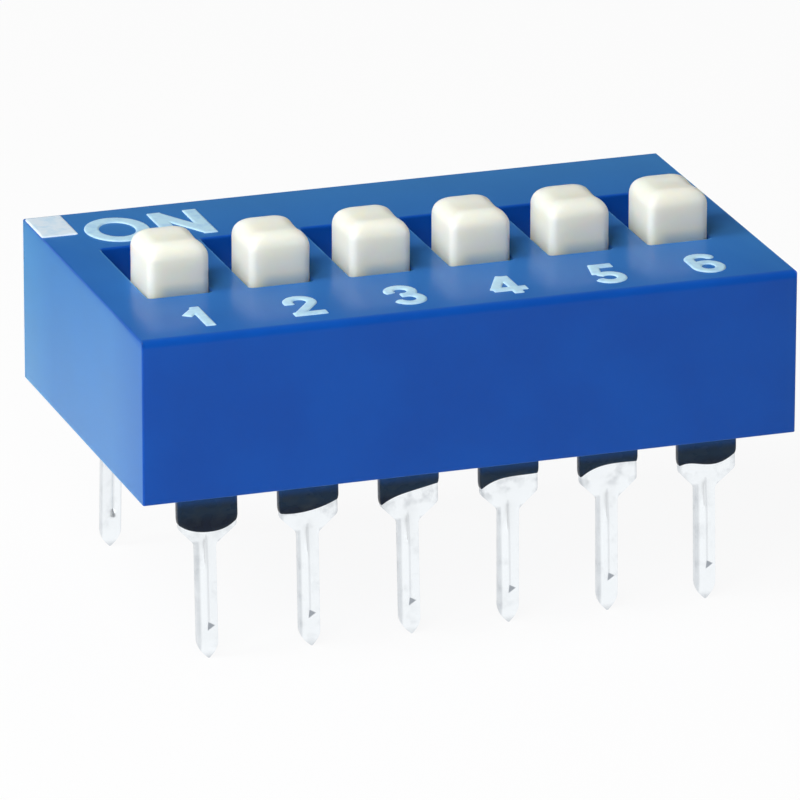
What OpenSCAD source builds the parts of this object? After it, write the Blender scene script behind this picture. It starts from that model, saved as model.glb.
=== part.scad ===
// Raised-slide DIP switch with six positions.
// Millimetres. X runs along the row of positions, +Y is the ON side and +Z is up.
// The origin is on the surface that the pin tips stand on, below the middle of the housing.

/* [Layout] */
// Distance between neighbouring positions
pitch = 2.54; // [2.4:0.01:2.8]
// Distance between the two rows of pins
row_spacing = 7.62; // [7.4:0.01:7.8]

/* [Housing] */
// Distance from a row of pins to the housing's front or back face
overhang = 1.09; // [1.02:0.01:1.5]
// Height of the housing without pins and knobs
body_h = 4.1; // [4:0.05:5]
// Thickness of the roof that the knobs come through
roof_t = 1; // [0.7:0.05:1.1]
// Thickness of the two end walls
end_wall = 0.78; // [0.5:0.01:1.2]
// Thickness of the front and back walls
side_wall = 0.6; // [0.4:0.05:0.65]
// Rounding of the edges around the roof
top_r = 0.2; // [0.05:0.01:0.4]
// Rounding of the four upright edges
corner_r = 0.14; // [0.05:0.01:0.4]

/* [Slides] */
// Width of a knob along the row
knob_w = 1.54; // [1.1:0.01:1.7]
// Front-to-back size of a knob
knob_d = 1.62; // [1.3:0.01:1.8]
// Height of a knob above the roof
knob_rise = 1.24; // [0.6:0.02:2]
// Rounding of a knob's top edges along its two sides
knob_side_r = 0.42; // [0.05:0.01:0.5]
// Rounding of a knob's top edges at its front and back
knob_end_r = 0.25; // [0.05:0.01:0.4]
// Rounding of a knob's upright edges
knob_corner_r = 0.19; // [0.05:0.01:0.4]
// Depth of the finger dish in a knob's top
dish_depth = 0.06; // [0.02:0.01:0.15]
// Front-to-back length of the finger dish
dish_span = 1.1; // [0.6:0.05:1.2]
// Stroke of a slide from OFF to ON
travel = 2.2; // [1.6:0.05:2.4]
// Offset of the slots from the middle of the roof, towards ON
slot_offset = 0.08; // [0:0.01:0.15]
// Thickness of a slide's dust flange under the roof
flange_t = 0.45; // [0.3:0.05:0.5]
// Width of the carriage below the flange
carriage_w = 1.5; // [1.2:0.05:1.8]
// Front-to-back length of the carriage
carriage_l = 2.6; // [2.2:0.1:3.2]
// Depth of the carriage below the flange
carriage_t = 0.55; // [0.4:0.05:0.6]

/* [Wipers] */
// Thickness of the spring strip
wiper_t = 0.1; // [0.06:0.01:0.12]
// Width of the spring strip
wiper_w = 0.9; // [0.6:0.05:1]
// Length of the strip's flat crown
crown_l = 0.8; // [0.5:0.05:1]
// Distance between the strip's two contact lines
foot_span = 1.7; // [1.5:0.05:1.9]
// Length of the flat of each foot
foot_l = 0.12; // [0.06:0.01:0.18]
// Reach of the strip's upturned toes beyond the contact lines
toe = 0.2; // [0.1:0.05:0.25]

/* [Base] */
// Thickness of the base's floor
floor_t = 0.7; // [0.5:0.05:0.8]
// Thickness of the barriers between positions
barrier_t = 0.3; // [0.2:0.05:0.4]

/* [Terminals] */
// Thickness of the stamped metal
metal_t = 0.22; // [0.15:0.01:0.28]
// Width of the contact plate and of the shoulder
shoulder_w = 1.44; // [1.2:0.01:1.8]
// Length of the straight shoulder below the housing
shoulder_l = 1.08; // [0.9:0.01:1.3]
// Rounding of the shoulder's lower corners
shoulder_r = 0.16; // [0.05:0.01:0.3]
// Length of the taper from shoulder to stem
taper_l = 0.42; // [0.3:0.01:0.6]
// Width of the stem
stem_w = 0.52; // [0.45:0.01:0.8]
// Length of the pins below the housing
pin_l = 4.35; // [3.5:0.05:6]
// Length of the pointed tip
tip_l = 0.45; // [0.3:0.01:0.6]
// Width and thickness of the blunt end of the tip
tip_end = 0.12; // [0.06:0.01:0.15]
// Distance that a tip stands outside its row
splay = 0.25; // [0:0.01:0.4]
// Inner radius of the bend from plate to shoulder
bend_r = 0.1; // [0.05:0.01:0.15]
// Width of the stiffening rib stamped in the stem
rib_w = 0.36; // [0.2:0.01:0.4]
// Height of the rib on the stem's outer face
rib_h = 0.1; // [0.05:0.01:0.12]
// Distance from the tip to the lower end of the rib
rib_stop = 0.78; // [0.65:0.01:1.2]
// Length of the sloped end of the rib
rib_slope = 0.24; // [0.1:0.01:0.3]
// Gap between a position's two contact plates
break_span = 0.6; // [0.4:0.05:0.7]
// Middle of that gap, towards ON from the middle of the slot
break_offset = 0.8; // [0.7:0.05:0.9]

/* [Resin seal] */
// Thickness of the resin between base and rim
seal_t = 0.3; // [0.2:0.05:0.4]
// Depth of the resin's surface inside the rim
seal_recess = 0.05; // [0.02:0.01:0.1]
// Thickness of the resin film on the shoulders
film_t = 0.03; // [0.02:0.01:0.05]
// Reach of the film at the edges of a shoulder
film_edge = 0.7; // [0.4:0.01:0.85]
// Extra reach of the film at the middle of a shoulder
film_sag = 0.34; // [0.1:0.01:0.4]

/* [Print] */
// Thickness of the ink
ink_t = 0.03; // [0.02:0.01:0.05]
// Height of the numerals
digit_h = 1.4; // [1.2:0.02:1.6]
// Width of the numerals
digit_w = 0.86; // [0.7:0.02:1]
// Stroke of the numerals
digit_stroke = 0.28; // [0.2:0.01:0.3]
// Distance from the housing's front face to the foot of the numerals
digit_margin = 0.64; // [0.4:0.02:0.9]
// Height of the word ON
word_h = 1.84; // [1.4:0.02:1.9]
// Width of the letter O
letter_o_w = 1.6; // [1.4:0.05:1.7]
// Width of the letter N
letter_n_w = 1.34; // [1.2:0.02:1.5]
// Gap between the two letters
letter_gap = 0.22; // [0.1:0.02:0.3]
// Stroke of the word ON
word_stroke = 0.36; // [0.25:0.01:0.4]
// Distance from the housing's back face to the top of the word ON
word_margin = 0.6; // [0.4:0.01:0.9]
// Distance from the housing's left end to the word ON
word_inset = 1.13; // [1:0.01:1.6]
// Length of the corner mark along the row
mark_w = 0.76; // [0.6:0.02:0.9]
// Front-to-back size of the corner mark
mark_d = 1.3; // [1:0.02:1.6]

/* [Clearances] */
// Side gap between knob and slot
slot_gap = 0.03; // [0.02:0.01:0.06]
// Gap between knob and slot at each end of the stroke
stop_gap = 0.05; // [0.02:0.01:0.1]
// Gap between a slide and the faces that guide it
guide_gap = 0.07; // [0.03:0.01:0.1]
// Gap between the flange and the front or back wall at the end of the stroke
flange_gap = 0.05; // [0.03:0.01:0.1]
// Gap between the base and the housing or a terminal
base_gap = 0.04; // [0.02:0.01:0.08]
// Gap between a wiper's feet and the contact plates
contact_gap = 0.02; // [0.01:0.01:0.04]

/* [Hidden] */
$fn = 48;
positions = 6;
arc_steps = 10;
cut = 0.5;                                    // how far a cutting tool runs past a face

body_d = row_spacing + 2 * overhang;
cavity_l = positions * pitch - barrier_t;
cavity_d = body_d - 2 * side_wall;
body_l = cavity_l + 2 * end_wall;

seat_z = pin_l;                               // rim of the housing
seal_z = seat_z + seal_recess;                // exposed surface of the resin
base_z = seal_z + seal_t;                     // underside of the base
deck_z = base_z + floor_t;                    // top of the base's floor
plate_z = deck_z + metal_t;                   // top of the contact plates
ceiling_z = seat_z + body_h - roof_t;         // underside of the roof
roof_z = seat_z + body_h;                     // top of the roof
flange_z = ceiling_z - guide_gap - flange_t;  // underside of a flange
carriage_z = flange_z - carriage_t;           // underside of a carriage

slot_w = knob_w + 2 * slot_gap;
slot_l = knob_d + travel + 2 * stop_gap;
off_y = slot_offset - travel / 2;             // middle of a slide at OFF
flange_w = pitch - barrier_t - 2 * guide_gap;
flange_l = cavity_d - travel - 2 * slot_offset - 2 * flange_gap;

row_y = row_spacing / 2;
break_y = slot_offset + break_offset;
digit_y = digit_margin + digit_h / 2 - body_d / 2;
word_y = body_d / 2 - word_margin - word_h / 2;

SLIDES = [for (n = [1:positions]) str("actuator_", n)];
WIPERS = [for (n = [1:positions]) str("wiper_", n)];
TERMINALS = [for (n = [1:2 * positions]) str("terminal_", n)];

function position_x(n) = (n - (positions + 1) / 2) * pitch;

// Terminals count along the front row from left to right, then back along the other row.
function terminal_x(n) = n <= positions ? position_x(n) : position_x(2 * positions + 1 - n);
function terminal_turn(n) = n <= positions ? 180 : 0;

function arc(c, r, from, to) =
    [for (i = [0:arc_steps]) c + r * [cos(from + (to - from) * i / arc_steps),
                                      sin(from + (to - from) * i / arc_steps)]];
function ellipse(w, h) =
    [for (i = [0:4 * arc_steps - 1]) [w * cos(90 * i / arc_steps), h * sin(90 * i / arc_steps)] / 2];
function mirrored(p) = [for (i = [len(p) - 1:-1:0]) [-p[i][0], p[i][1]]];

// A stroke of even width along a path: each point is moved sideways along its mitre.
function unit(v) = v / norm(v);
function side(v) = [-v[1], v[0]];
function mitre(p, i) =
    let (last = len(p) - 1,
         a = side(unit(p[max(i, 1)] - p[max(i, 1) - 1])),
         b = side(unit(p[min(i, last - 1) + 1] - p[min(i, last - 1)])))
    (a + b) / (1 + a * b);
function stroke(p, w) =
    concat([for (i = [0:len(p) - 1]) p[i] - mitre(p, i) * w / 2],
           [for (i = [len(p) - 1:-1:0]) p[i] + mitre(p, i) * w / 2]);

module rounded_rectangle(l, d, r) {
    square([l - 2 * r, d], center = true);
    square([l, d - 2 * r], center = true);
    for (x = [-1, 1], y = [-1, 1])
        translate([x * (l / 2 - r), y * (d / 2 - r)]) circle(r);
}

// Upright profile with square feet and rounded shoulders
module arch(l, h, r) {
    translate([-l / 2, 0]) square([l, h - r]);
    translate([r - l / 2, 0]) square([l - 2 * r, h]);
    for (x = [-1, 1]) translate([x * (l / 2 - r), h - r]) circle(r);
}

// Block on z = 0 with rounded upright edges and rounded top edges along its sides and its ends
module rounded_block(l, d, h, upright_r, side_r, end_r) {
    intersection() {
        linear_extrude(h) rounded_rectangle(l, d, upright_r);
        rotate([90, 0, 0]) linear_extrude(d, center = true) arch(l, h, side_r);
        rotate([90, 0, 90]) linear_extrude(l, center = true) arch(d, h, end_r);
    }
}

// Box centred on x and y, from height z up
module slab(l, d, h, z) {
    translate([-l / 2, -d / 2, z]) cube([l, d, h]);
}

module housing() {
    color("royalblue") difference() {
        translate([0, 0, seat_z]) rounded_block(body_l, body_d, body_h, corner_r, top_r, top_r);
        slab(cavity_l, cavity_d, body_h - roof_t + cut, seat_z - cut);
        for (n = [1:positions])
            translate([position_x(n), slot_offset, 0]) slab(slot_w, slot_l, roof_t + 2 * cut, ceiling_z - cut);
    }
}

module base() {
    color([0.1, 0.1, 0.11]) {
        difference() {
            slab(cavity_l - 2 * base_gap, cavity_d - 2 * base_gap, floor_t, base_z);
            for (n = [1:2 * positions]) at_terminal(n) notch();
        }
        for (n = [1:positions - 1])
            translate([position_x(n) + pitch / 2, 0, 0])
                slab(barrier_t, cavity_d - 2 * base_gap, ceiling_z - base_gap - deck_z, deck_z);
    }
}

// Opening in the edge of the floor for a terminal's bend and blade
module notch() {
    inner_y = row_y - metal_t / 2 - bend_r;
    translate([0, inner_y, base_z - cut])
        translate([-shoulder_w / 2 - base_gap, 0, 0])
            cube([shoulder_w + 2 * base_gap, cavity_d, floor_t + 2 * cut]);
}

module at_terminal(n) {
    translate([terminal_x(n), 0, 0]) rotate([0, 0, terminal_turn(n)]) children();
}

// Side view of a terminal as [outward, up]: contact plate, bend, blade and leaning pin
function terminal_side(inner_y) =
    let (corner = [row_y - metal_t / 2 - bend_r, deck_z - bend_r],
         lean = splay * (1 - tip_l / pin_l))
    concat([[inner_y, plate_z]],
           arc(corner, bend_r + metal_t, 90, 0),
           [[row_y + metal_t / 2, seat_z],
            [row_y + metal_t / 2 + lean, tip_l],
            [row_y + splay + tip_end / 2, 0],
            [row_y + splay - tip_end / 2, 0],
            [row_y - metal_t / 2 + lean, tip_l],
            [row_y - metal_t / 2, seat_z]],
           arc(corner, bend_r, 0, 90),
           [[inner_y, deck_z]]);

// Right half of a terminal's front view as [across, up], from the top down. The tip's side is
// an arc that leaves the stem without a corner and ends at the blunt end.
function terminal_half() =
    let (run = (shoulder_w - stem_w) / 2,
         slope = atan2(run, taper_l),
         z = seat_z - shoulder_l,
         inset = (stem_w - tip_end) / 2,
         tip_r = (inset * inset + tip_l * tip_l) / (2 * inset))
    concat([[shoulder_w / 2, plate_z + cut]],
           arc([shoulder_w / 2 - shoulder_r, z + shoulder_r * tan(slope / 2)], shoulder_r, 0, -slope),
           [[stem_w / 2, z - taper_l]],
           arc([stem_w / 2 - tip_r, tip_l], tip_r, 0, -2 * atan2(inset, tip_l)));

// Raised rib with sloped ends and a root that runs back from its face, on a pin that leans outwards
module stem_rib() {
    root = metal_t / 4;
    top = pin_l - shoulder_l - taper_l / 2;
    rib_l = top - rib_stop;
    translate([0, row_y + splay, 0]) rotate([atan2(splay, pin_l), 0, 0]) translate([0, 0, rib_stop])
        intersection() {
            linear_extrude(rib_l)
                polygon([[-rib_w / 2, -root], [-rib_w / 2, 0], [0, rib_h], [rib_w / 2, 0], [rib_w / 2, -root]]);
            rotate([90, 0, 90]) linear_extrude(rib_w, center = true)
                polygon([[-root, 0], [0, 0], [rib_h, rib_slope], [rib_h, rib_l - rib_slope], [0, rib_l], [-root, rib_l]]);
        }
}

module terminal(n) {
    inner_y = break_span / 2 + (n <= positions ? -break_y : break_y);
    color("gainsboro") at_terminal(n) difference() {
        union() {
            intersection() {
                rotate([90, 0, 90]) linear_extrude(shoulder_w, center = true) polygon(terminal_side(inner_y));
                translate([0, body_d, 0]) rotate([90, 0, 0]) linear_extrude(2 * body_d)
                    polygon(concat(terminal_half(), mirrored(terminal_half())));
            }
            translate([0, metal_t / 2, 0]) stem_rib();
        }
        translate([0, -metal_t / 2, 0]) stem_rib();
    }
}

// Outline of the resin film on one shoulder: straight sides and a sagging lower edge
function film_outline(half_w) =
    let (r = (half_w * half_w + film_sag * film_sag) / (2 * film_sag),
         a = asin(half_w / r))
    concat([[-half_w, seal_z], [half_w, seal_z]],
           arc([0, seat_z - film_edge - film_sag + r], r, a - 90, -a - 90));

module film(n) {
    half_w = shoulder_w / 2 + film_t;
    drop = film_edge + film_sag;
    lean = splay * drop / pin_l;
    half_t = metal_t / 2 + film_t;
    at_terminal(n) intersection() {
        translate([0, body_d, 0]) rotate([90, 0, 0]) linear_extrude(2 * body_d) polygon(film_outline(half_w));
        rotate([90, 0, 90]) linear_extrude(2 * half_w, center = true)
            polygon([[row_y - half_t, seal_z], [row_y - half_t, seat_z], [row_y - half_t + lean, seat_z - drop],
                     [row_y + half_t + lean, seat_z - drop], [row_y + half_t, seat_z], [row_y + half_t, seal_z]]);
    }
}

// The part of a terminal that the resin closes around
module sealed_blade(n) {
    drop = pin_l;
    at_terminal(n)
        rotate([90, 0, 90]) linear_extrude(shoulder_w, center = true)
            polygon([[row_y - metal_t / 2, base_z + cut], [row_y - metal_t / 2, seat_z],
                     [row_y - metal_t / 2 + splay, seat_z - drop], [row_y + metal_t / 2 + splay, seat_z - drop],
                     [row_y + metal_t / 2, seat_z], [row_y + metal_t / 2, base_z + cut]]);
}

module seal() {
    color([0.06, 0.06, 0.07]) difference() {
        union() {
            slab(cavity_l, cavity_d, seal_t, seal_z);
            for (n = [1:2 * positions]) film(n);
        }
        for (n = [1:2 * positions]) sealed_blade(n);
    }
}

module actuator(n) {
    dish_r = (dish_span * dish_span / 4 + dish_depth * dish_depth) / (2 * dish_depth);
    knob_h = roof_z + knob_rise - flange_z;
    color("ivory") translate([position_x(n), off_y, 0]) difference() {
        union() {
            translate([0, 0, flange_z])
                rounded_block(knob_w, knob_d, knob_h, knob_corner_r, knob_side_r, knob_end_r);
            slab(flange_w, flange_l, flange_t, flange_z);
            slab(carriage_w, carriage_l, carriage_t, carriage_z);
        }
        translate([0, 0, flange_z + knob_h + dish_r - dish_depth])
            rotate([0, 90, 0]) cylinder(h = knob_w + cut, r = dish_r, center = true);
        slab(wiper_w + 2 * guide_gap, crown_l + 4 * wiper_t, wiper_t + cut, carriage_z - cut);
    }
}

// Side view of a wiper's middle line: upturned toes, two flat feet and a flat crown
function wiper_path() =
    let (top = carriage_z + wiper_t / 2, low = plate_z + contact_gap + wiper_t / 2,
         foot = [foot_span - foot_l, foot_span + foot_l] / 2, lift = toe - foot_l / 2)
    [[-foot_span / 2 - toe, low + lift], [-foot[1], low], [-foot[0], low], [-crown_l / 2, top],
     [crown_l / 2, top], [foot[0], low], [foot[1], low], [foot_span / 2 + toe, low + lift]];

module wiper(n) {
    color("gold") translate([position_x(n), off_y, 0])
        rotate([90, 0, 90]) linear_extrude(wiper_w, center = true) polygon(stroke(wiper_path(), wiper_t));
}

// Strokes of each numeral about its own middle, as paths of the pen
module numeral(n) {
    s = digit_stroke;
    x = (digit_w - s) / 2;
    y = (digit_h - s) / 2;
    if (n == 1) {
        polygon(stroke([[s / 8, -digit_h / 2], [s / 8, digit_h / 2]], s));
        polygon(stroke([[s / 8, y], [-1.25 * x, y / 2]], s));
    }
    if (n == 2) {
        polygon(stroke(concat(arc([0, y - x], x, 165, -38), [[-x, -y]]), s));
        polygon(stroke([[-x - s / 2, -y], [x + s / 2, -y]], s));
    }
    if (n == 3) {
        polygon(stroke(arc([0, y / 2], y / 2, 160, -90), s));
        polygon(stroke(arc([0, -y / 2], y / 2, 90, -160), s));
    }
    if (n == 4) {
        polygon(stroke([[s / 2, -digit_h / 2], [s / 2, digit_h / 2]], s));
        polygon(stroke([[s / 2, y], [-1.25 * x, -y / 2]], s));
        polygon(stroke([[-x - s / 2, -y / 2], [x + s / 2, -y / 2]], s));
    }
    if (n == 5) {
        polygon(stroke([[x + s / 2, y], [-s / 2, y]], s));
        polygon(stroke([[s / 2 - x, y + s / 2], [s / 8 - x, -s / 4]], s));
        polygon(stroke(arc([0, x - y], x, 150, -155), s));
    }
    if (n == 6) {
        difference() {
            union() {
                translate([0, x - y]) polygon(ellipse(digit_w, digit_w));
                polygon(stroke(concat([[-x, x - y]], arc([0, y - x], x, 180, 35)), s));
            }
            translate([0, x - y]) polygon(ellipse(digit_w - 2 * s, digit_w - 3 * s / 2));
        }
    }
}

module word_on() {
    s = word_stroke;
    w = letter_o_w + letter_gap + letter_n_w;
    translate([letter_o_w / 2 - w / 2, 0]) difference() {
        polygon(ellipse(letter_o_w, word_h));
        polygon(ellipse(letter_o_w - 2 * s, word_h - 2 * s));
    }
    inner = letter_n_w - s;
    notch = word_h * s / inner;
    translate([w / 2 - letter_n_w, -word_h / 2])
        polygon([[0, 0], [0, word_h], [s, word_h], [inner, notch], [inner, word_h],
                 [letter_n_w, word_h], [letter_n_w, 0], [inner, 0], [s, word_h - notch], [s, 0]]);
}

module print() {
    word_x = word_inset + (letter_o_w + letter_gap + letter_n_w) / 2 - body_l / 2;
    color("aliceblue") translate([0, 0, roof_z]) linear_extrude(ink_t) {
        for (n = [1:positions]) translate([position_x(n), digit_y]) numeral(n);
        translate([word_x, word_y]) word_on();
        translate([top_r - body_l / 2, body_d / 2 - top_r - mark_d]) square([mark_w, mark_d]);
    }
}

housing();
print();
base();
seal();
for (n = [1:positions]) actuator(n);
for (n = [1:positions]) wiper(n);
for (n = [1:2 * positions]) terminal(n);
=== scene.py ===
"""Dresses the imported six-position DIP switch and sets it in a plain studio.

The housing, the slides, the pins, the resin and the ink are surfaces worked out with numpy around
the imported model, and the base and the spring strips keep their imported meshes. Lengths are in
millimetres, and a mesh or an object is given metres when it is made. X runs along the row of
positions, +Y is the ON side and +Z is up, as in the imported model.
"""

import logging
from dataclasses import dataclass, field
from enum import Enum
from typing import Any, Callable, Mapping, Sequence, Union

import bmesh
import bpy
import numpy as np
from mathutils import Matrix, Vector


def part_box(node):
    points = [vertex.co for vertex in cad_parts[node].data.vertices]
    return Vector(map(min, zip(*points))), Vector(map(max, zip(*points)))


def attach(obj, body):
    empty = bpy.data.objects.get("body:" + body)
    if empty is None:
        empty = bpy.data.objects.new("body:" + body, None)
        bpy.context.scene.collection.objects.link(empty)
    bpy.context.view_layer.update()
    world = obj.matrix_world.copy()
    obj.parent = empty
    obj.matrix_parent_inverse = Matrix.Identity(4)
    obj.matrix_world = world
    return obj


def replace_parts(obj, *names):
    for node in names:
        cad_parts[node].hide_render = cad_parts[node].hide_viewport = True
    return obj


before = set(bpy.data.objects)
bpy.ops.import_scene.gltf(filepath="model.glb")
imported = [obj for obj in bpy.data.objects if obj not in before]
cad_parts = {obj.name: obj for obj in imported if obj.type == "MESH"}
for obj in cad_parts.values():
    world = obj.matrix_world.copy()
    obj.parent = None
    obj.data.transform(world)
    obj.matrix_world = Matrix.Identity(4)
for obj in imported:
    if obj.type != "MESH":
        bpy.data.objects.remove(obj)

MM = 0.001
POSITIONS = 6
NUMBERS = range(1, POSITIONS + 1)
PITCH = 2.54
ROW_Y = 3.81      # distance of each row of pins from the middle
SPLAY = 0.25      # distance that a tip stands outside its row
JOIN = 2e-4       # points closer than this become one
SLIVER = 1e-4     # edges shorter than this are dissolved
TINY = 1e-12      # keeps a division from a zero
BODY = "body"

Array = np.ndarray
Colour = tuple[float, float, float]
Material = bpy.types.Material
Piece = bpy.types.Object

log = logging.getLogger("dip_switch")


class Slot(Enum):
    """Material slots of the record."""

    HOUSING = "blue_housing"
    INK = "white_ink"
    BASE = "black_base"
    RESIN = "black_resin"
    KNOB = "cream_knob"
    SPRING = "gilt_spring"
    PIN = "tinned_pin"


class StrokeEnd(Enum):
    """How a pen stroke stops: cut square, or round as the pen."""

    SQUARE = 0
    ROUND = 1


def node_box(node: str) -> tuple[Array, Array]:
    """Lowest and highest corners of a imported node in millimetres."""
    low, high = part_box(node)
    return np.array(low) / MM, np.array(high) / MM


# --------------------------------------------------------------------------------------
# Surfaces
# --------------------------------------------------------------------------------------


@dataclass
class Solid:
    """A closed surface gathered from grids of points whose borders meet.

    A grid is an array of rows, columns and coordinates in millimetres. Four neighbouring points
    make a face. A row that shrinks to one point is a pole, which closes a surface, and points
    that coincide are joined when the mesh is made.
    """

    name: str
    points: list[Array] = field(default_factory=list)
    faces: list[Array] = field(default_factory=list)

    def _add(self, points: Array, faces: Array) -> "Solid":
        """Adds points and the faces between them.

        Args:
            points: array whose last axis is x, y and z.
            faces: array of faces and corners, which counts from the first of the points.

        Returns:
            This solid.
        """
        self.faces.append(faces + sum(map(len, self.points)))
        self.points.append(points.reshape(-1, 3))
        return self

    def grid(self, points: Array) -> "Solid":
        """Adds a grid whose last column joins the first one.

        Point (i, j) has the number i * columns + j, and its face takes the points (i, j),
        (i, j + 1), (i + 1, j + 1) and (i + 1, j).

        Args:
            points: array of rows, columns and coordinates.

        Returns:
            This solid.
        """
        rows, columns = points.shape[:2]
        i = np.arange(rows - 1)[:, None] * columns
        j = np.arange(columns)[None, :]
        k = (j + 1) % columns
        faces = np.stack([i + j, i + k, i + columns + k, i + columns + j], -1)
        return self._add(points, faces.reshape(-1, 4))

    def soup(self, corners: Array) -> "Solid":
        """Adds loose faces from an array of faces, corners and coordinates."""
        count, sides = corners.shape[:2]
        return self._add(corners, np.arange(count * sides).reshape(count, sides))

    def build(self, material: Material, slot: Slot, body: str = BODY, crease: float = 35.0) -> Piece:
        """Makes the object, joins its borders, turns its faces outwards and hangs it on a body.

        Args:
            material: finish of the whole piece.
            slot: the record's slot for that finish; not used.
            body: body that carries the piece.
            crease: angle in degrees past which an edge is shaded sharp.

        Returns:
            The finished object.
        """
        mesh = bpy.data.meshes.new(self.name)
        polygons = [face for block in self.faces for face in block.tolist()]
        mesh.from_pydata((np.concatenate(self.points) * MM).tolist(), [], polygons)
        work = bmesh.new()
        work.from_mesh(mesh)
        bmesh.ops.remove_doubles(work, verts=work.verts, dist=JOIN * MM)
        bmesh.ops.dissolve_degenerate(work, edges=work.edges, dist=SLIVER * MM)
        bmesh.ops.recalc_face_normals(work, faces=work.faces)
        open_edges = sum(not edge.is_manifold for edge in work.edges)
        work.to_mesh(mesh)
        work.free()
        mesh.shade_smooth()
        mesh.set_sharp_from_angle(angle=np.radians(crease))
        mesh.materials.append(material)
        piece = bpy.data.objects.new(self.name, mesh)
        bpy.context.scene.collection.objects.link(piece)
        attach(piece, body)
        log.info("%s: %d faces, %d open edges, on %s", self.name, len(mesh.polygons), open_edges, body)
        return piece


@dataclass(frozen=True)
class Outline:
    """Rounded rectangles with the same number of points, ready to be stacked as the rows of a grid.

    A ring runs anticlockwise. A corner is a quarter circle about the end of the straight sides,
    and the sides carry points at given shares of their half length.
    """

    along_x: Array
    along_y: Array
    steps: int = 6

    def template(self) -> tuple[Array, Array]:
        """Where each point stands on the straight sides, and its direction out of them.

        Returns:
            Two arrays of points by two: shares of the half sides, and unit directions.
        """
        shares, directions = [], []
        sides = [self.along_x, self.along_y, self.along_x, self.along_y]
        for side, inner in enumerate(sides):
            turn = np.pi / 2 * (side + np.linspace(0, 1, self.steps + 1))
            corner = np.sign([np.cos(turn.mean()), np.sin(turn.mean())])
            shares.append(np.tile(corner, (len(turn), 1)))
            directions.append(np.stack([np.cos(turn), np.sin(turn)], -1))
            run = inner[1:-1] if side > 1 else inner[-2:0:-1]
            level = np.full_like(run, [1, -1, -1, 1][side])
            shares.append(np.stack([run, level] if side % 2 == 0 else [level, run], -1))
            directions.append(np.tile(directions[-1][-1], (len(run), 1)))
        return np.concatenate(shares), np.concatenate(directions)

    def rings(self, half_x: Any, half_y: Any, radius: Any, z: Any, middle: Sequence[Any] = (0, 0)) -> Array:
        """Stacks rings, each with its own half lengths, corner radius, height and middle.

        A point is the middle, plus its share of the half side less the radius, plus the radius
        times its direction.

        Args:
            half_x: half length along x.
            half_y: half length along y.
            radius: corner radius.
            z: height.
            middle: centre.

        Returns:
            Array of rings, points and coordinates.
        """
        given = np.broadcast_arrays(*map(np.atleast_1d, (half_x, half_y, radius, z, *middle)))
        half_x, half_y, radius, z, mid_x, mid_y = [a[:, None] for a in given]
        share, direction = self.template()
        x = mid_x + (half_x - radius) * share[:, 0] + radius * direction[:, 0]
        y = mid_y + (half_y - radius) * share[:, 1] + radius * direction[:, 1]
        return np.stack([x, y, np.tile(z, (1, len(share)))], -1)


def quarter(radius: float, steps: int) -> tuple[Array, Array]:
    """A rounded edge as it runs from a flat face into an upright one.

    With the angle t from 0 to 90 degrees, the inset from the upright face is r (1 - sin t) and
    the drop below the flat face is r (1 - cos t).

    Args:
        radius: radius of the rounding.
        steps: number of facets.

    Returns:
        Insets and drops, from the flat face on.
    """
    turn = np.linspace(0, np.pi / 2, steps + 1)
    return radius * (1 - np.sin(turn)), radius * (1 - np.cos(turn))


def stations(borders: Sequence[float], parts: int) -> Array:
    """Splits each interval between rising borders into equal parts, borders included once."""
    pieces = [np.linspace(a, b, parts + 1)[:-1] for a, b in zip(borders, borders[1:])]
    return np.concatenate(pieces + [np.array(borders[-1:], float)])


# --------------------------------------------------------------------------------------
# Shader maths
# --------------------------------------------------------------------------------------

Number = Union["Value", float]


@dataclass(frozen=True)
class Value:
    """A socket that carries a number. An expression on values adds its Math nodes."""

    nodes: "Nodes"
    socket: bpy.types.NodeSocket

    def _math(self, operation: str, *inputs: Number) -> "Value":
        """Adds one Math node for an operation on the given inputs."""
        return self.nodes.value("ShaderNodeMath", dict(enumerate(inputs)), operation=operation)

    def __add__(self, other: Number) -> "Value":
        """Sum."""
        return self._math("ADD", self, other)

    def __radd__(self, other: Number) -> "Value":
        """Sum with a number on the left."""
        return self._math("ADD", other, self)

    def __sub__(self, other: Number) -> "Value":
        """Difference."""
        return self._math("SUBTRACT", self, other)

    def __rsub__(self, other: Number) -> "Value":
        """Difference with a number on the left."""
        return self._math("SUBTRACT", other, self)

    def __mul__(self, other: Number) -> "Value":
        """Product."""
        return self._math("MULTIPLY", self, other)

    def __rmul__(self, other: Number) -> "Value":
        """Product with a number on the left."""
        return self._math("MULTIPLY", other, self)

    def __truediv__(self, other: Number) -> "Value":
        """Quotient."""
        return self._math("DIVIDE", self, other)

    def __rtruediv__(self, other: Number) -> "Value":
        """Quotient with a number on the left."""
        return self._math("DIVIDE", other, self)

    def most(self, other: Number) -> "Value":
        """The greater of two values."""
        return self._math("MAXIMUM", self, other)

    def step(self, low: float, high: float) -> "Value":
        """Rises smoothly from 0 at low to 1 at high."""
        inputs = {"Value": self, "From Min": low, "From Max": high}
        return self.nodes.value("ShaderNodeMapRange", inputs, interpolation_type="SMOOTHSTEP")

    def band(self, low: float, high: float, soft: float) -> "Value":
        """Is 1 between low and high, and falls smoothly to 0 outside them over a soft margin."""
        return self.step(low - soft, low) * (1 - self.step(high, high + soft))

    def size(self) -> "Value":
        """Absolute value."""
        return self._math("ABSOLUTE", self)

    def sign(self) -> "Value":
        """Sign of the value, -1 or 1."""
        return self._math("SIGN", self)

    def wrap(self, half: float) -> "Value":
        """Repeats the value between -half and half."""
        return self._math("WRAP", self, half, -half)


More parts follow.
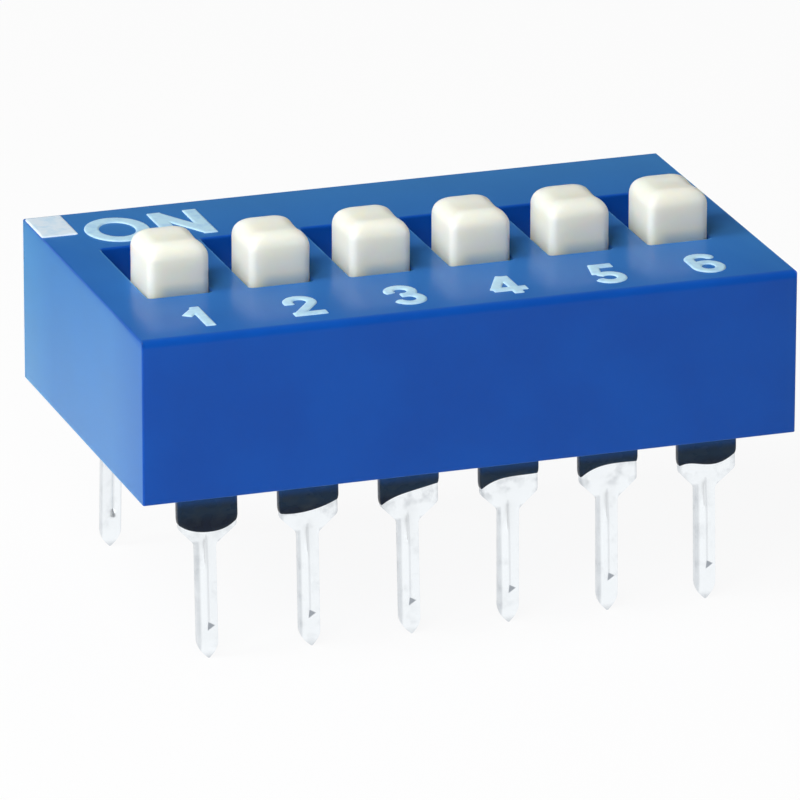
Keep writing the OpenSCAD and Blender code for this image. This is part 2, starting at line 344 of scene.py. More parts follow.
class Nodes:
    """A node tree that is filled by expressions."""

    def __init__(self, owner: Any) -> None:
        """Clears the tree of a material or world.

        Args:
            owner: the material or world.
        """
        owner.use_nodes = True
        self.tree = owner.node_tree
        self.tree.nodes.clear()

    def feed(self, socket: bpy.types.NodeSocket, value: Any) -> None:
        """Links a value or a socket to an input, or sets the input to a constant.

        Args:
            socket: the input.
            value: a value, a socket, a number, a vector or a colour.
        """
        value = value.socket if isinstance(value, Value) else value
        if isinstance(value, bpy.types.NodeSocket):
            self.tree.links.new(value, socket)
        else:
            socket.default_value = value

    def node(self, kind: str, inputs: Mapping[Any, Any] | None = None, **settings: Any) -> bpy.types.Node:
        """Adds any node.

        Args:
            kind: the node's type.
            inputs: what feeds its sockets, by name or number.
            settings: properties that are set first; "stops" gives a ramp's positions and colours.

        Returns:
            The node.
        """
        node = self.tree.nodes.new(kind)
        stops = settings.pop("stops", ())
        for _ in stops[2:]:
            node.color_ramp.elements.new(1.0)
        for k, (position, colour) in enumerate(stops):
            node.color_ramp.elements[k].position = position
            node.color_ramp.elements[k].color = (*colour, 1.0)
        for key, setting in settings.items():
            setattr(node, key, setting)
        for key, value in (inputs or {}).items():
            self.feed(node.inputs[key], value)
        return node

    def value(self, kind: str, inputs: Mapping[Any, Any] | None = None, output: Any = 0,
              **settings: Any) -> Value:
        """Adds any node and gives one output, by name or number, as a value."""
        return Value(self, self.node(kind, inputs, **settings).outputs[output])

    def coordinate(self, kind: str, letter: str) -> Value:
        """One part, X, Y or Z, of a texture coordinate."""
        place = self.node("ShaderNodeTexCoord").outputs[kind]
        return self.value("ShaderNodeSeparateXYZ", {0: place}, letter)

    def axis(self, letter: str) -> Value:
        """Object coordinate along one axis, in millimetres."""
        return self.coordinate("Object", letter) * (1 / MM)

    def ray(self, kind: str) -> Value:
        """Is 1 for one kind of ray."""
        return self.value("ShaderNodeLightPath", output=f"Is {kind} Ray")

    def shown(self) -> Value:
        """Is 1 for the rays that show the surroundings: camera, glossy and transmission rays."""
        return self.ray("Camera").most(self.ray("Glossy")).most(self.ray("Transmission"))

    def mixed(self, share: Number, first: bpy.types.Node, second: bpy.types.Node) -> bpy.types.Node:
        """Mixes the shaders of two nodes by the share of the second."""
        return self.node("ShaderNodeMixShader", {0: share, 1: first.outputs[0], 2: second.outputs[0]})


class Shader(Nodes):
    """One node material around a Principled shader, patterned in object space."""

    def __init__(self, name: str, **constants: Any) -> None:
        """Makes the material.

        Args:
            name: name of the material.
            constants: sockets of the shader by name, with underscores for spaces, and values.
        """
        self.material = bpy.data.materials.new(name)
        super().__init__(self.material)
        constants = {key.replace("_", " "): value for key, value in constants.items()}
        self.principled = self.node("ShaderNodeBsdfPrincipled", constants)
        self.node("ShaderNodeOutputMaterial", {"Surface": self.principled.outputs[0]})

    def front(self) -> Value:
        """How far the surface faces the front, from -1 to 1."""
        return -1.0 * self.coordinate("Normal", "Y")

    def noise(self, size: float, detail: float = 2.0, stretch: Sequence[float] = (1, 1, 1)) -> Value:
        """Soft noise between 0 and 1.

        Args:
            size: size of its features in millimetres.
            detail: number of finer layers.
            stretch: how many times longer the features are along each axis.

        Returns:
            The noise as a value.
        """
        point = self.node("ShaderNodeTexCoord").outputs["Object"]
        place = self.node("ShaderNodeMapping", {"Vector": point, "Scale": [1 / s for s in stretch]})
        inputs = {"Vector": place.outputs[0], "Scale": 1 / (size * MM), "Detail": detail}
        return self.value("ShaderNodeTexNoise", inputs, "Fac")

    def blend(self, share: Number, first: Any, second: Any) -> bpy.types.NodeSocket:
        """Mixes two colours or colour sockets by the share of the second."""
        first, second = [(*c, 1.0) if isinstance(c, tuple) else c for c in (first, second)]
        return self.node("ShaderNodeMix", {0: share, 6: first, 7: second}, data_type="RGBA").outputs[2]

    def dressed(self, colour: bpy.types.NodeSocket, roughness: Value, height: Value, depth: float,
                strength: float) -> Material:
        """Feeds the pattern to the shader.

        Args:
            colour: base colour.
            roughness: roughness.
            height: height of the surface, between 0 and 1.
            depth: depth in millimetres that a height of 1 stands for.
            strength: how strongly the shading follows it.

        Returns:
            The finished material.
        """
        bump = self.node("ShaderNodeBump", {"Height": height, "Distance": depth * MM, "Strength": strength})
        pattern = {"Base Color": colour, "Roughness": roughness, "Normal": bump.outputs[0]}
        for name, value in pattern.items():
            self.feed(self.principled.inputs[name], value)
        return self.material


@dataclass(frozen=True)
class HousingPlastic:
    """Moulded polyester: an even blue with faint flow clouds and a fine spark-eroded grain."""

    shade: Colour = (0.0005, 0.068, 0.415)
    light: Colour = (0.001, 0.079, 0.452)
    sheen: Colour = (0.22, 0.72, 1.0)
    roughness: float = 0.23
    cloud_size: float = 2.6
    cloud_rough: float = 0.1
    grain_size: float = 0.06
    grain_rough: float = 0.06
    grain_depth: float = 0.002

    def material(self) -> Material:
        """Makes the material.

        Returns:
            The material.
        """
        s = Shader("blue_polyester", IOR=1.45, Specular_IOR_Level=0.22, Sheen_Weight=0.9,
                   Sheen_Roughness=0.4, Sheen_Tint=(*self.sheen, 1.0))
        cloud, grain = s.noise(self.cloud_size, 3.0), s.noise(self.grain_size)
        roughness = self.roughness + self.cloud_rough * (cloud - 0.5) + self.grain_rough * (grain - 0.5)
        colour = s.blend(cloud.step(0.3, 0.7), self.shade, self.light)
        return s.dressed(colour, roughness, grain, self.grain_depth, 0.25)


@dataclass(frozen=True)
class KnobNylon:
    """Moulded nylon: waxy off-white that lets light in, with painted shade at the foot.

    The foot of the front face carries painted shade and a painted blue bounce from the roof, more so away
    from the left corner.
    """

    colour: Colour = (0.955, 0.935, 0.80)
    # painted shade: warmer, darker colour towards the foot; the cloud also mixes a little of it in as random
    # tone
    foot: Colour = (0.86, 0.83, 0.63)
    # painted shade and painted blue bounce light for the foot of the front face
    bounce_shade: Colour = (0.55, 0.66, 0.66)
    spread: Colour = (1.0, 0.85, 0.7)
    depth: float = 0.6
    roughness: float = 0.5
    roof_z: float = 8.45
    foot_shade_span: tuple[float, float] = (-0.2, 0.55)
    bounce_shade_h: float = 0.32
    bounce_shade_x: tuple[float, float] = (-0.65, -0.2)
    bounce_shade_facing: tuple[float, float] = (0.6, 0.9)
    cloud_size: float = 0.9
    grain_size: float = 0.08
    grain_depth: float = 0.0015

    def material(self) -> Material:
        """Makes the material.

        Returns:
            The material.
        """
        s = Shader("cream_nylon", Subsurface_Weight=1.0, Subsurface_Scale=self.depth * MM,
                   Subsurface_Radius=self.spread, IOR=1.45, Specular_IOR_Level=0.25)
        cloud, grain, z = s.noise(self.cloud_size), s.noise(self.grain_size), s.axis("Z")
        # painted shade: rises from the foot colour to the body colour over the knob's lowest part
        rise = z.step(*(self.roof_z + end for end in self.foot_shade_span))
        across = (s.axis("X") + PITCH / 2).wrap(PITCH / 2)
        # mask of the painted shade and bounce: low on the front face, away from the left corner
        near = 1 - z.step(self.roof_z, self.roof_z + self.bounce_shade_h)
        near = near * across.step(*self.bounce_shade_x) * s.front().step(*self.bounce_shade_facing)
        # body colour with the painted foot shade, and a little random tone from the cloud
        body = s.blend(rise * (0.92 + 0.08 * cloud), self.foot, self.colour)
        roughness = self.roughness + 0.12 * (cloud - 0.5)
        return s.dressed(s.blend(near, body, self.bounce_shade), roughness, grain, self.grain_depth, 0.3)


@dataclass(frozen=True)
class TinPlate:
    """Bright tin on stamped strip: faint draw marks, random grey patches and grey at the tip.

    Painted shade lies in grey along the cut edges, on the ridge of the rib and on the shaded half of
    the rib's lower end, and a painted reflection of the black film lies below the resin.
    """

    colour: Colour = (0.94, 0.975, 1.0)
    grey: Colour = (0.36, 0.39, 0.43)
    roughness: float = 0.2
    draw_size: float = 0.03
    draw_l: float = 30.0
    draw_depth: float = 0.0006
    patch_size: float = 0.35
    rim_z: float = 4.35
    stem_below: float = 1.45
    stem_soft: float = 0.1
    stem_edge_shade: tuple[float, float] = (0.205, 0.27)
    shoulder_edge_shade: tuple[float, float] = (0.62, 0.74)
    # band of the painted reflection of the black resin film on the shoulder
    film_reflection_below: tuple[float, float] = (0.5, 1.0)
    film_reflection_soft: float = 0.35
    # place and width of the painted shade line along the ridge of the rib
    ridge_x: float = -0.06
    ridge_below: float = 1.3
    ridge_soft: float = 0.1
    line_w: float = 0.02
    tip_l: float = 0.22
    # place and size of the painted shade on the rib's lower end
    spot_z: float = 0.87
    spot_rise: float = 0.006
    spot_w: float = 0.2
    spot_h: float = 0.13
    spot_soft: float = 0.04
    spot_out: tuple[float, float] = (0.04, 0.07)

    def _shade_spot(self, across: Value, outside: Value, z: Value) -> Value:
        """Is 1 where painted shade lies, on the shaded half of the rib's lower end, a triangle whose point is
        at the side.

        Args:
            across: place across the pin, from its middle.
            outside: distance outside the middle of the metal.
            z: height, corrected along the row.

        Returns:
            The spot.
        """
        tall = self.spot_h * (1 - (across - self.ridge_x) / self.spot_w)
        shade_spot = (tall - (z - self.spot_z).size()).step(0.0, self.spot_soft)
        return shade_spot * across.step(self.ridge_x - self.line_w, self.ridge_x) * outside.step(*self.spot_out)

    def material(self) -> Material:
        """Makes the material.

        Returns:
            The material.
        """
        s = Shader("bright_tin", Metallic=1.0)
        x, y, z = [s.axis(letter) for letter in "XYZ"]
        across, below = (x + PITCH / 2).wrap(PITCH / 2) * y.sign() * -1.0, self.rim_z - z
        draw = s.noise(self.draw_size, stretch=(1, 1, self.draw_l))
        patch = s.noise(self.patch_size, 3.0)
        stem = below.step(self.stem_below - self.stem_soft, self.stem_below)
        side = across.size()
        # painted shade: grey along the cut edges of the stem and of the shoulder
        edge = side.step(*self.stem_edge_shade) * stem + side.step(*self.shoulder_edge_shade) * (1 - stem)
        # painted shade: a thin grey line along the ridge of the rib
        ridge = across.band(self.ridge_x - self.line_w, self.ridge_x + self.line_w, self.line_w)
        ridge = ridge * z.band(self.spot_z, self.rim_z - self.ridge_below, self.ridge_soft)
        # painted reflection of the black resin film, in grey patches just below it
        film_reflection = below.band(*self.film_reflection_below, self.film_reflection_soft) * patch.step(0.42, 0.7)
        tip = 1 - z.step(0.0, self.tip_l)
        # painted shade on the shaded half of the rib's lower end
        shade_spot = self._shade_spot(across, y.size() - ROW_Y - SPLAY * below / self.rim_z, z - self.spot_rise * x)
        # grey share: random patches and the tip, with the painted shade and the painted film reflection
        share = (0.16 * patch.step(0.5, 0.8) + 0.4 * edge * (0.4 + patch) + 0.2 * ridge
                 + 0.8 * tip * patch + 0.25 * film_reflection)
        colour = s.blend(share.most(0.95 * shade_spot), self.colour, self.grey)
        return s.dressed(colour, self.roughness + 0.06 * draw + 0.2 * shade_spot, draw, self.draw_depth, 0.15)


@dataclass(frozen=True)
class SealingResin:
    """Black potting resin, glossy and uneven as it ran, with a painted reflection of the blue housing near
    the rim and painted grey highlights.
    """

    colour: Colour = (0.004, 0.011, 0.028)
    # painted reflection of the blue housing: the blue-black middle and, below, the blue band at the rim
    middle: Colour = (0.010, 0.036, 0.072)
    rim: Colour = (0.010, 0.080, 0.26)
    # painted grey highlights in the gloss of the black resin
    grey: Colour = (0.045, 0.062, 0.072)
    roughness: float = 0.2
    rim_z: float = 4.35
    rim_reflection_below: tuple[float, float] = (0.3, 0.58)
    dark_below: tuple[float, float] = (0.6, 0.95)
    flow_size: float = 0.45
    flow_l: float = 0.6
    flow_depth: float = 0.012

    def material(self) -> Material:
        """Makes the material.

        Returns:
            The material.
        """
        s = Shader("potting_resin", IOR=1.45, Specular_IOR_Level=0.2)
        below, flow = self.rim_z - s.axis("Z"), s.noise(self.flow_size, stretch=(1, 1, self.flow_l))
        # painted reflection: fades from the blue-black middle to black lower down
        dark = s.blend(below.step(*self.dark_below), self.middle, self.colour)
        # painted highlights: grey lobes where the flow noise is high
        dark = s.blend(flow.step(0.45, 0.8) * 0.5, dark, self.grey)
        # painted reflection of the blue housing in a band along the rim
        colour = s.blend(below.step(*self.rim_reflection_below), self.rim, dark)
        return s.dressed(colour, self.roughness + 0.15 * flow, flow, self.flow_depth, 0.5)


@dataclass(frozen=True)
class PadInk:
    """Pad-printed ink: ice white, a little thin where the pad lifted."""

    name: str = "pad_ink"
    colour: Colour = (0.54, 0.80, 0.95)
    thin: Colour = (0.42, 0.68, 0.90)
    roughness: float = 0.45
    lift_size: float = 0.22
    grain_size: float = 0.07
    grain_depth: float = 0.002

    def material(self) -> Material:
        """Makes the material.

        Returns:
            The material.
        """
        s = Shader(self.name, IOR=1.45, Specular_IOR_Level=0.3)
        lift, grain = s.noise(self.lift_size, 3.0), s.noise(self.grain_size)
        colour = s.blend(lift.step(0.4, 0.75), self.colour, self.thin)
        return s.dressed(colour, self.roughness + 0.2 * (lift - 0.5), grain, self.grain_depth, 0.4)


@dataclass(frozen=True)
class FilledMoulding:
    """Glass-filled black moulding: matt, with short fibres just under the skin."""

    colour: Colour = (0.018, 0.018, 0.020)
    fibre: Colour = (0.06, 0.06, 0.062)
    roughness: float = 0.55
    fibre_size: float = 0.05
    fibre_l: float = 6.0
    fibre_depth: float = 0.003

    def material(self) -> Material:
        """Makes the material.

        Returns:
            The material.
        """
        s = Shader("filled_moulding", IOR=1.5, Specular_IOR_Level=0.3)
        fibres = s.noise(self.fibre_size, 3.0, (self.fibre_l, 1, 1))
        colour = s.blend(fibres.step(0.55, 0.75), self.colour, self.fibre)
        return s.dressed(colour, self.roughness + 0.2 * (fibres - 0.5), fibres, self.fibre_depth, 0.5)


@dataclass(frozen=True)
class SpringGilt:
    """Gold flash on rolled strip, with rolling lines along its length."""

    colour: Colour = (0.86, 0.62, 0.24)
    worn: Colour = (0.70, 0.50, 0.22)
    roughness: float = 0.22
    roll_size: float = 0.03
    roll_l: float = 25.0
    roll_depth: float = 0.001

    def material(self) -> Material:
        """Makes the material.

        Returns:
            The material.
        """
        s = Shader("spring_gilt", Metallic=1.0)
        roll = s.noise(self.roll_size, stretch=(1, self.roll_l, 1))
        colour = s.blend(roll.step(0.4, 0.7), self.colour, self.worn)
        return s.dressed(colour, self.roughness + 0.15 * roll, roll, self.roll_depth, 0.3)


# --------------------------------------------------------------------------------------
# Housing
# --------------------------------------------------------------------------------------


@dataclass
class Housing:
    """The blue moulding: four walls and a roof with a slot for each slide.

    The roof's edge is well rounded along the front and nearly sharp along the back and the ends.
    """

    pitch: float = PITCH
    roof_t: float = 1.0
    end_wall: float = 0.78
    side_wall: float = 0.6
    front_r: float = 0.2
    back_r: float = 0.07
    end_r: float = 0.05
    corner_r: float = 0.05
    rim_r: float = 0.02
    slot_w: float = 1.6
    slot_l: float = 3.92
    slot_offset: float = 0.08
    slot_corner_r: float = 0.08
    slot_edge_r: float = 0.05
    wall_margin: float = 0.06
    slot_margin: float = 0.05
    ceiling_margin: float = 0.08
    parts: int = 4
    edge_steps: int = 8
    rim_steps: int = 3
    slot_steps: int = 4

    def __post_init__(self) -> None:
        """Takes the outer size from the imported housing."""
        low, high = node_box("housing")
        self.half_x, self.half_y = high[:2]
        self.rim_z, self.roof_z = low[2], high[2]
        self.ceiling_z = self.roof_z - self.roof_t
        self.flat = np.array([self.half_x - self.end_r, self.half_y - (self.front_r + self.back_r) / 2])
        self.flat_y = (self.front_r - self.back_r) / 2
        self.cavity = np.array([self.half_x - self.end_wall, self.half_y - self.side_wall])

    def position(self, number: int) -> float:
        """Middle of a position along the row."""
        return (number - (POSITIONS + 1) / 2) * self.pitch

    def borders(self, half: float) -> list[float]:
        """Borders of the roof's tiles, one tile to a position, out to a half length."""
        return [-half, *(self.position(n) + self.pitch / 2 for n in NUMBERS[:-1]), half]

    def _skin(self) -> Array:
        """Outer walls, rim and inner walls.

        A profile is carried round the housing: from the flat of the roof over its rounded edge,
        down the wall, under the rim and up the inner wall to the ceiling. The edge's radius goes
        with the direction that the wall faces, and the corner radius shrinks to nothing where the
        rounded edge meets the flat.

        Returns:
            A grid whose rows are rings, from the roof to the ceiling.
        """
        inset, drop = quarter(1.0, self.edge_steps)
        rim_inset, rim_drop = quarter(self.rim_r, self.rim_steps)
        outer, inner = self._ring_kind(self.flat), self._ring_kind(self.cavity)
        edge_y = self.half_y + (self.flat[1] - self.half_y) * inset
        edge = outer.rings(self.half_x - self.end_r * inset, edge_y, self.corner_r * (1 - inset),
                           self.roof_z, (0, self.flat_y * inset))
        edge[..., 2] -= drop[:, None] * self._edge_r(*outer.template()[1].T)
        rim_top = self.rim_z + self.rim_r + self.wall_margin
        wall_z = np.array([self.roof_z - self.front_r - self.wall_margin, rim_top])
        rise, rim_out = self.rim_z + rim_drop, rim_inset[::-1]
        rows = [(self.half_x, self.half_y, self.corner_r, wall_z),
                (self.half_x - rim_out, self.half_y - rim_out, self.corner_r - rim_out, rise[::-1]),
                (self.cavity[0] + rim_inset, self.cavity[1] + rim_inset, 0.0, rise),
                (*self.cavity, 0.0, rim_top)]
        inner_z = np.array([self.ceiling_z - self.wall_margin, self.ceiling_z])
        return np.concatenate([edge, *(outer.rings(*row) for row in rows),
                               inner.rings(*self.cavity, 0.0, inner_z)])

    def _edge_r(self, out_x: Array, out_y: Array) -> Array:
        """Radius of the roof's edge by the direction that it faces.

        The radii of the side and of the end are mixed by the squares of the direction's parts.

        Args:
            out_x: part of the direction along the row.
            out_y: part of it across the row.

        Returns:
            The radii.
        """
        side_r = np.where(out_y < 0, self.front_r, self.back_r)
        total = np.maximum(out_x ** 2 + out_y ** 2, TINY)
        return (self.end_r * out_x ** 2 + side_r * out_y ** 2) / total

    def _ring_kind(self, half: Array) -> Outline:
        """Outline of an area of given half sizes, whose sides carry the borders of the tiles."""
        along_x = stations(self.borders(half[0]), self.parts) / half[0]
        return Outline(along_x, np.linspace(-1, 1, self.parts + 1))

    def _tile(self, number: int) -> Array:
        """The roof around one slot.

        A profile is carried round the slot: from the tile's border across the roof, over the
        slot's rounded edge, down its wall, over a rounding of half that radius and back out along
        the ceiling.

        Args:
            number: the position.

        Returns:
            A grid whose rows run from the roof's border to the ceiling's.
        """
        share = np.linspace(-1, 1, self.parts + 1)
        kind = Outline(share, share)
        inset, drop = quarter(self.slot_edge_r, self.slot_steps)
        edge = self.slot_edge_r + self.slot_margin
        spread = np.concatenate([[edge], inset, [0.0, 0.0], inset[::-1] / 2])
        wall_z = [self.roof_z - edge, self.ceiling_z + self.ceiling_margin]
        z = np.concatenate([[self.roof_z], self.roof_z - drop, wall_z, self.ceiling_z + drop[::-1] / 2])
        slot = kind.rings(self.slot_w / 2 + spread, self.slot_l / 2 + spread, self.slot_corner_r + spread,
                          z, (self.position(number), self.slot_offset))
        return np.concatenate([self._tile_border(kind, number, self.flat, self.roof_z, self.flat_y), slot,
                               self._tile_border(kind, number, self.cavity, self.ceiling_z, 0.0)])

    def _tile_border(self, kind: Outline, number: int, half: Array, z: float, middle_y: float) -> Array:
        """One row that bounds the tile of a position in an area of given half sizes."""
        left, right = self.borders(half[0])[number - 1:number + 1]
        return kind.rings((right - left) / 2, half[1], 0.0, z, ((left + right) / 2, middle_y))

    def surface_z(self, x: Array, y: Array) -> Array:
        """Height of the roof, which falls along a quarter circle over its rounded edges.

        Args:
            x: places along the row.
            y: places across it.

        Returns:
            The heights.
        """
        out_x = np.maximum(np.abs(x) - self.flat[0], 0) / self.end_r
        from_middle = y - self.flat_y
        beyond = np.maximum(np.abs(from_middle) - self.flat[1], 0)
        out_y = np.sign(from_middle) * beyond / np.where(from_middle < 0, self.front_r, self.back_r)
        over = np.minimum(np.hypot(out_x, out_y), 1)
        return self.roof_z - self._edge_r(out_x, out_y) * (1 - np.sqrt(1 - over ** 2))

    def build(self, finish: HousingPlastic) -> Piece:
        """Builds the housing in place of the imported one.

        Args:
            finish: its plastic.

        Returns:
            The piece.
        """
        solid = Solid("housing_moulding").grid(self._skin())
        for number in NUMBERS:
            solid.grid(self._tile(number))
        piece = solid.build(finish.material(), Slot.HOUSING)
        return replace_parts(piece, "housing")


# --------------------------------------------------------------------------------------
# Slides
# --------------------------------------------------------------------------------------


@dataclass
class Slide:
    """One cream moulding: the knob, the dust flange under the roof and the carriage below it."""

    number: int
    knob_w: float = 1.54
    knob_d: float = 1.62
    side_r: float = 0.4
    back_r: float = 0.2
    foot_corner_r: float = 0.19
    top_corner_r: float = 0.24
    front_r: float = 0.4
    skirt_h: float = 0.5
    wall_margin: float = 0.05
    dish_depth: float = 0.055
    dish_span: float = 1.3
    dish_back: float = 0.12
    flange_w: float = 2.1
    flange_l: float = 6.1
    flange_t: float = 0.45
    carriage_w: float = 1.5
    carriage_l: float = 2.6
    carriage_t: float = 0.55
    corner_r: float = 0.08
    pocket_w: float = 1.04
    pocket_l: float = 1.2
    pocket_t: float = 0.1
    pocket_r: float = 0.02
    edge_r: float = 0.04
    edge_steps: int = 3
    corner_steps: int = 8
    side_points: tuple[int, int] = (9, 21)
    round_rows: int = 15
    top_rows: int = 9

    def __post_init__(self) -> None:
        """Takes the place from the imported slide."""
        low, high = node_box(f"actuator_{self.number}")
        self.middle = (low + high)[:2] / 2
        self.low_z, self.top_z = low[2], high[2]
        self.flange_z = self.low_z + self.carriage_t

    def _under(self, kind: Outline) -> Array:
        """Pocket for the spring strip, carriage and flange, as rings from the inside up.

        Args:
            kind: the outline that all rows share.

        Returns:
            A grid.
        """
        inset, drop = quarter(self.edge_r, self.edge_steps)
        rising, falling = inset[::-1], drop[::-1]
        pocket_z, top_z = self.low_z + self.pocket_t, self.flange_z + self.flange_t
        pocket = (self.pocket_w / 2, self.pocket_l / 2, self.pocket_r)
        carriage, flange = (self.carriage_w / 2, self.carriage_l / 2), (self.flange_w / 2, self.flange_l / 2)
        rows = [(0.0, 0.0, 0.0, pocket_z), (*pocket, pocket_z), (*pocket, self.low_z),
                (carriage[0] - inset, carriage[1] - inset, self.corner_r, self.low_z + drop),
                (*carriage, self.corner_r, self.flange_z),
                (flange[0] - inset, flange[1] - inset, self.corner_r, self.flange_z + drop),
                (flange[0] - rising, flange[1] - rising, self.corner_r, top_z - falling)]
        return np.concatenate([kind.rings(*row, self.middle) for row in rows])

    def _inset(self, rise: Array, radius: float) -> Array:
        """Inset r - sqrt(r^2 - u^2) of a face with the radius r, at the height u above its start."""
        up = np.maximum(rise - self.side_r + radius, 0)
        return radius - np.sqrt(np.maximum(radius ** 2 - up ** 2, 0))

    def _knob(self, kind: Outline) -> Array:
        """Knob, as rings from the flange up.

        The rings shrink over the top edges along a quarter circle: of the sides' radius in x, and
        in y of the front's and the back's, while the corner radius grows. The finger dish runs
        from side to side: with u the distance from its middle over half its length, it lowers
        the rounded part by its depth times (1 - u^2)^2.

        Args:
            kind: the outline that all rows share.

        Returns:
            A grid.
        """
        round_z = self.top_z - self.side_r
        wall_z = np.array([self.flange_z + self.flange_t, self.flange_z + self.flange_t + self.skirt_h,
                           round_z - self.wall_margin])
        wall = kind.rings(self.knob_w / 2, self.knob_d / 2, self.foot_corner_r, wall_z, self.middle)
        rise = self.side_r * np.sin(np.linspace(0, np.pi / 2, self.round_rows))
        side_in, front_in, back_in = [self._inset(rise, r) for r in (self.side_r, self.front_r, self.back_r)]
        corner_r = self.foot_corner_r + (rise / self.side_r) ** 2 * (self.top_corner_r - self.foot_corner_r)
        over = kind.rings(self.knob_w / 2 - side_in, self.knob_d / 2 - (front_in + back_in) / 2, corner_r,
                          round_z + rise, (self.middle[0], self.middle[1] + (front_in - back_in) / 2))
        middle = over[-1].mean(0) * [1, 1, 0]
        shrink = np.linspace(1, 0, self.top_rows)[1:, None, None]
        top = (over[-1:] - middle) * np.concatenate([shrink, shrink, np.ones_like(shrink)], -1) + middle
        knob = np.concatenate([wall, over, top])
        along = np.clip((knob[..., 1] - self.middle[1] - self.dish_back) / (self.dish_span / 2), -1, 1)
        share = np.clip((knob[..., 2] - (round_z - self.wall_margin)) / self.side_r, 0, 1)
        knob[..., 2] -= self.dish_depth * (1 - along ** 2) ** 2 * share
        return knob

    def build(self, material: Material) -> Piece:
        """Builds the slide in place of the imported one.

        Args:
            material: its plastic.

        Returns:
            The piece.
        """
        kind = Outline(*(np.linspace(-1, 1, count) for count in self.side_points), self.corner_steps)
        solid = Solid(f"slide_moulding_{self.number}")
        solid.grid(np.concatenate([self._under(kind), self._knob(kind)]))
        piece = solid.build(material, Slot.KNOB, f"slide_{self.number}", crease=40.0)
        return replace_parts(piece, f"actuator_{self.number}")


# --------------------------------------------------------------------------------------
# Pins and resin
# --------------------------------------------------------------------------------------


# How far a stem stands off the middle of its shoulder, at its top and at its foot, and how far the
# point of the tip stands off the stem, to the right as seen from outside.
STRAY: dict[int, tuple[float, float, float]] = {
    1: (-0.065, -0.065, 0.040), 2: (-0.030, -0.035, 0.060), 3: (-0.045, -0.035, 0.060),
    4: (-0.025, -0.060, 0.015), 5: (-0.035, -0.060, 0.015), 6: (-0.060, -0.070, 0.020),
}


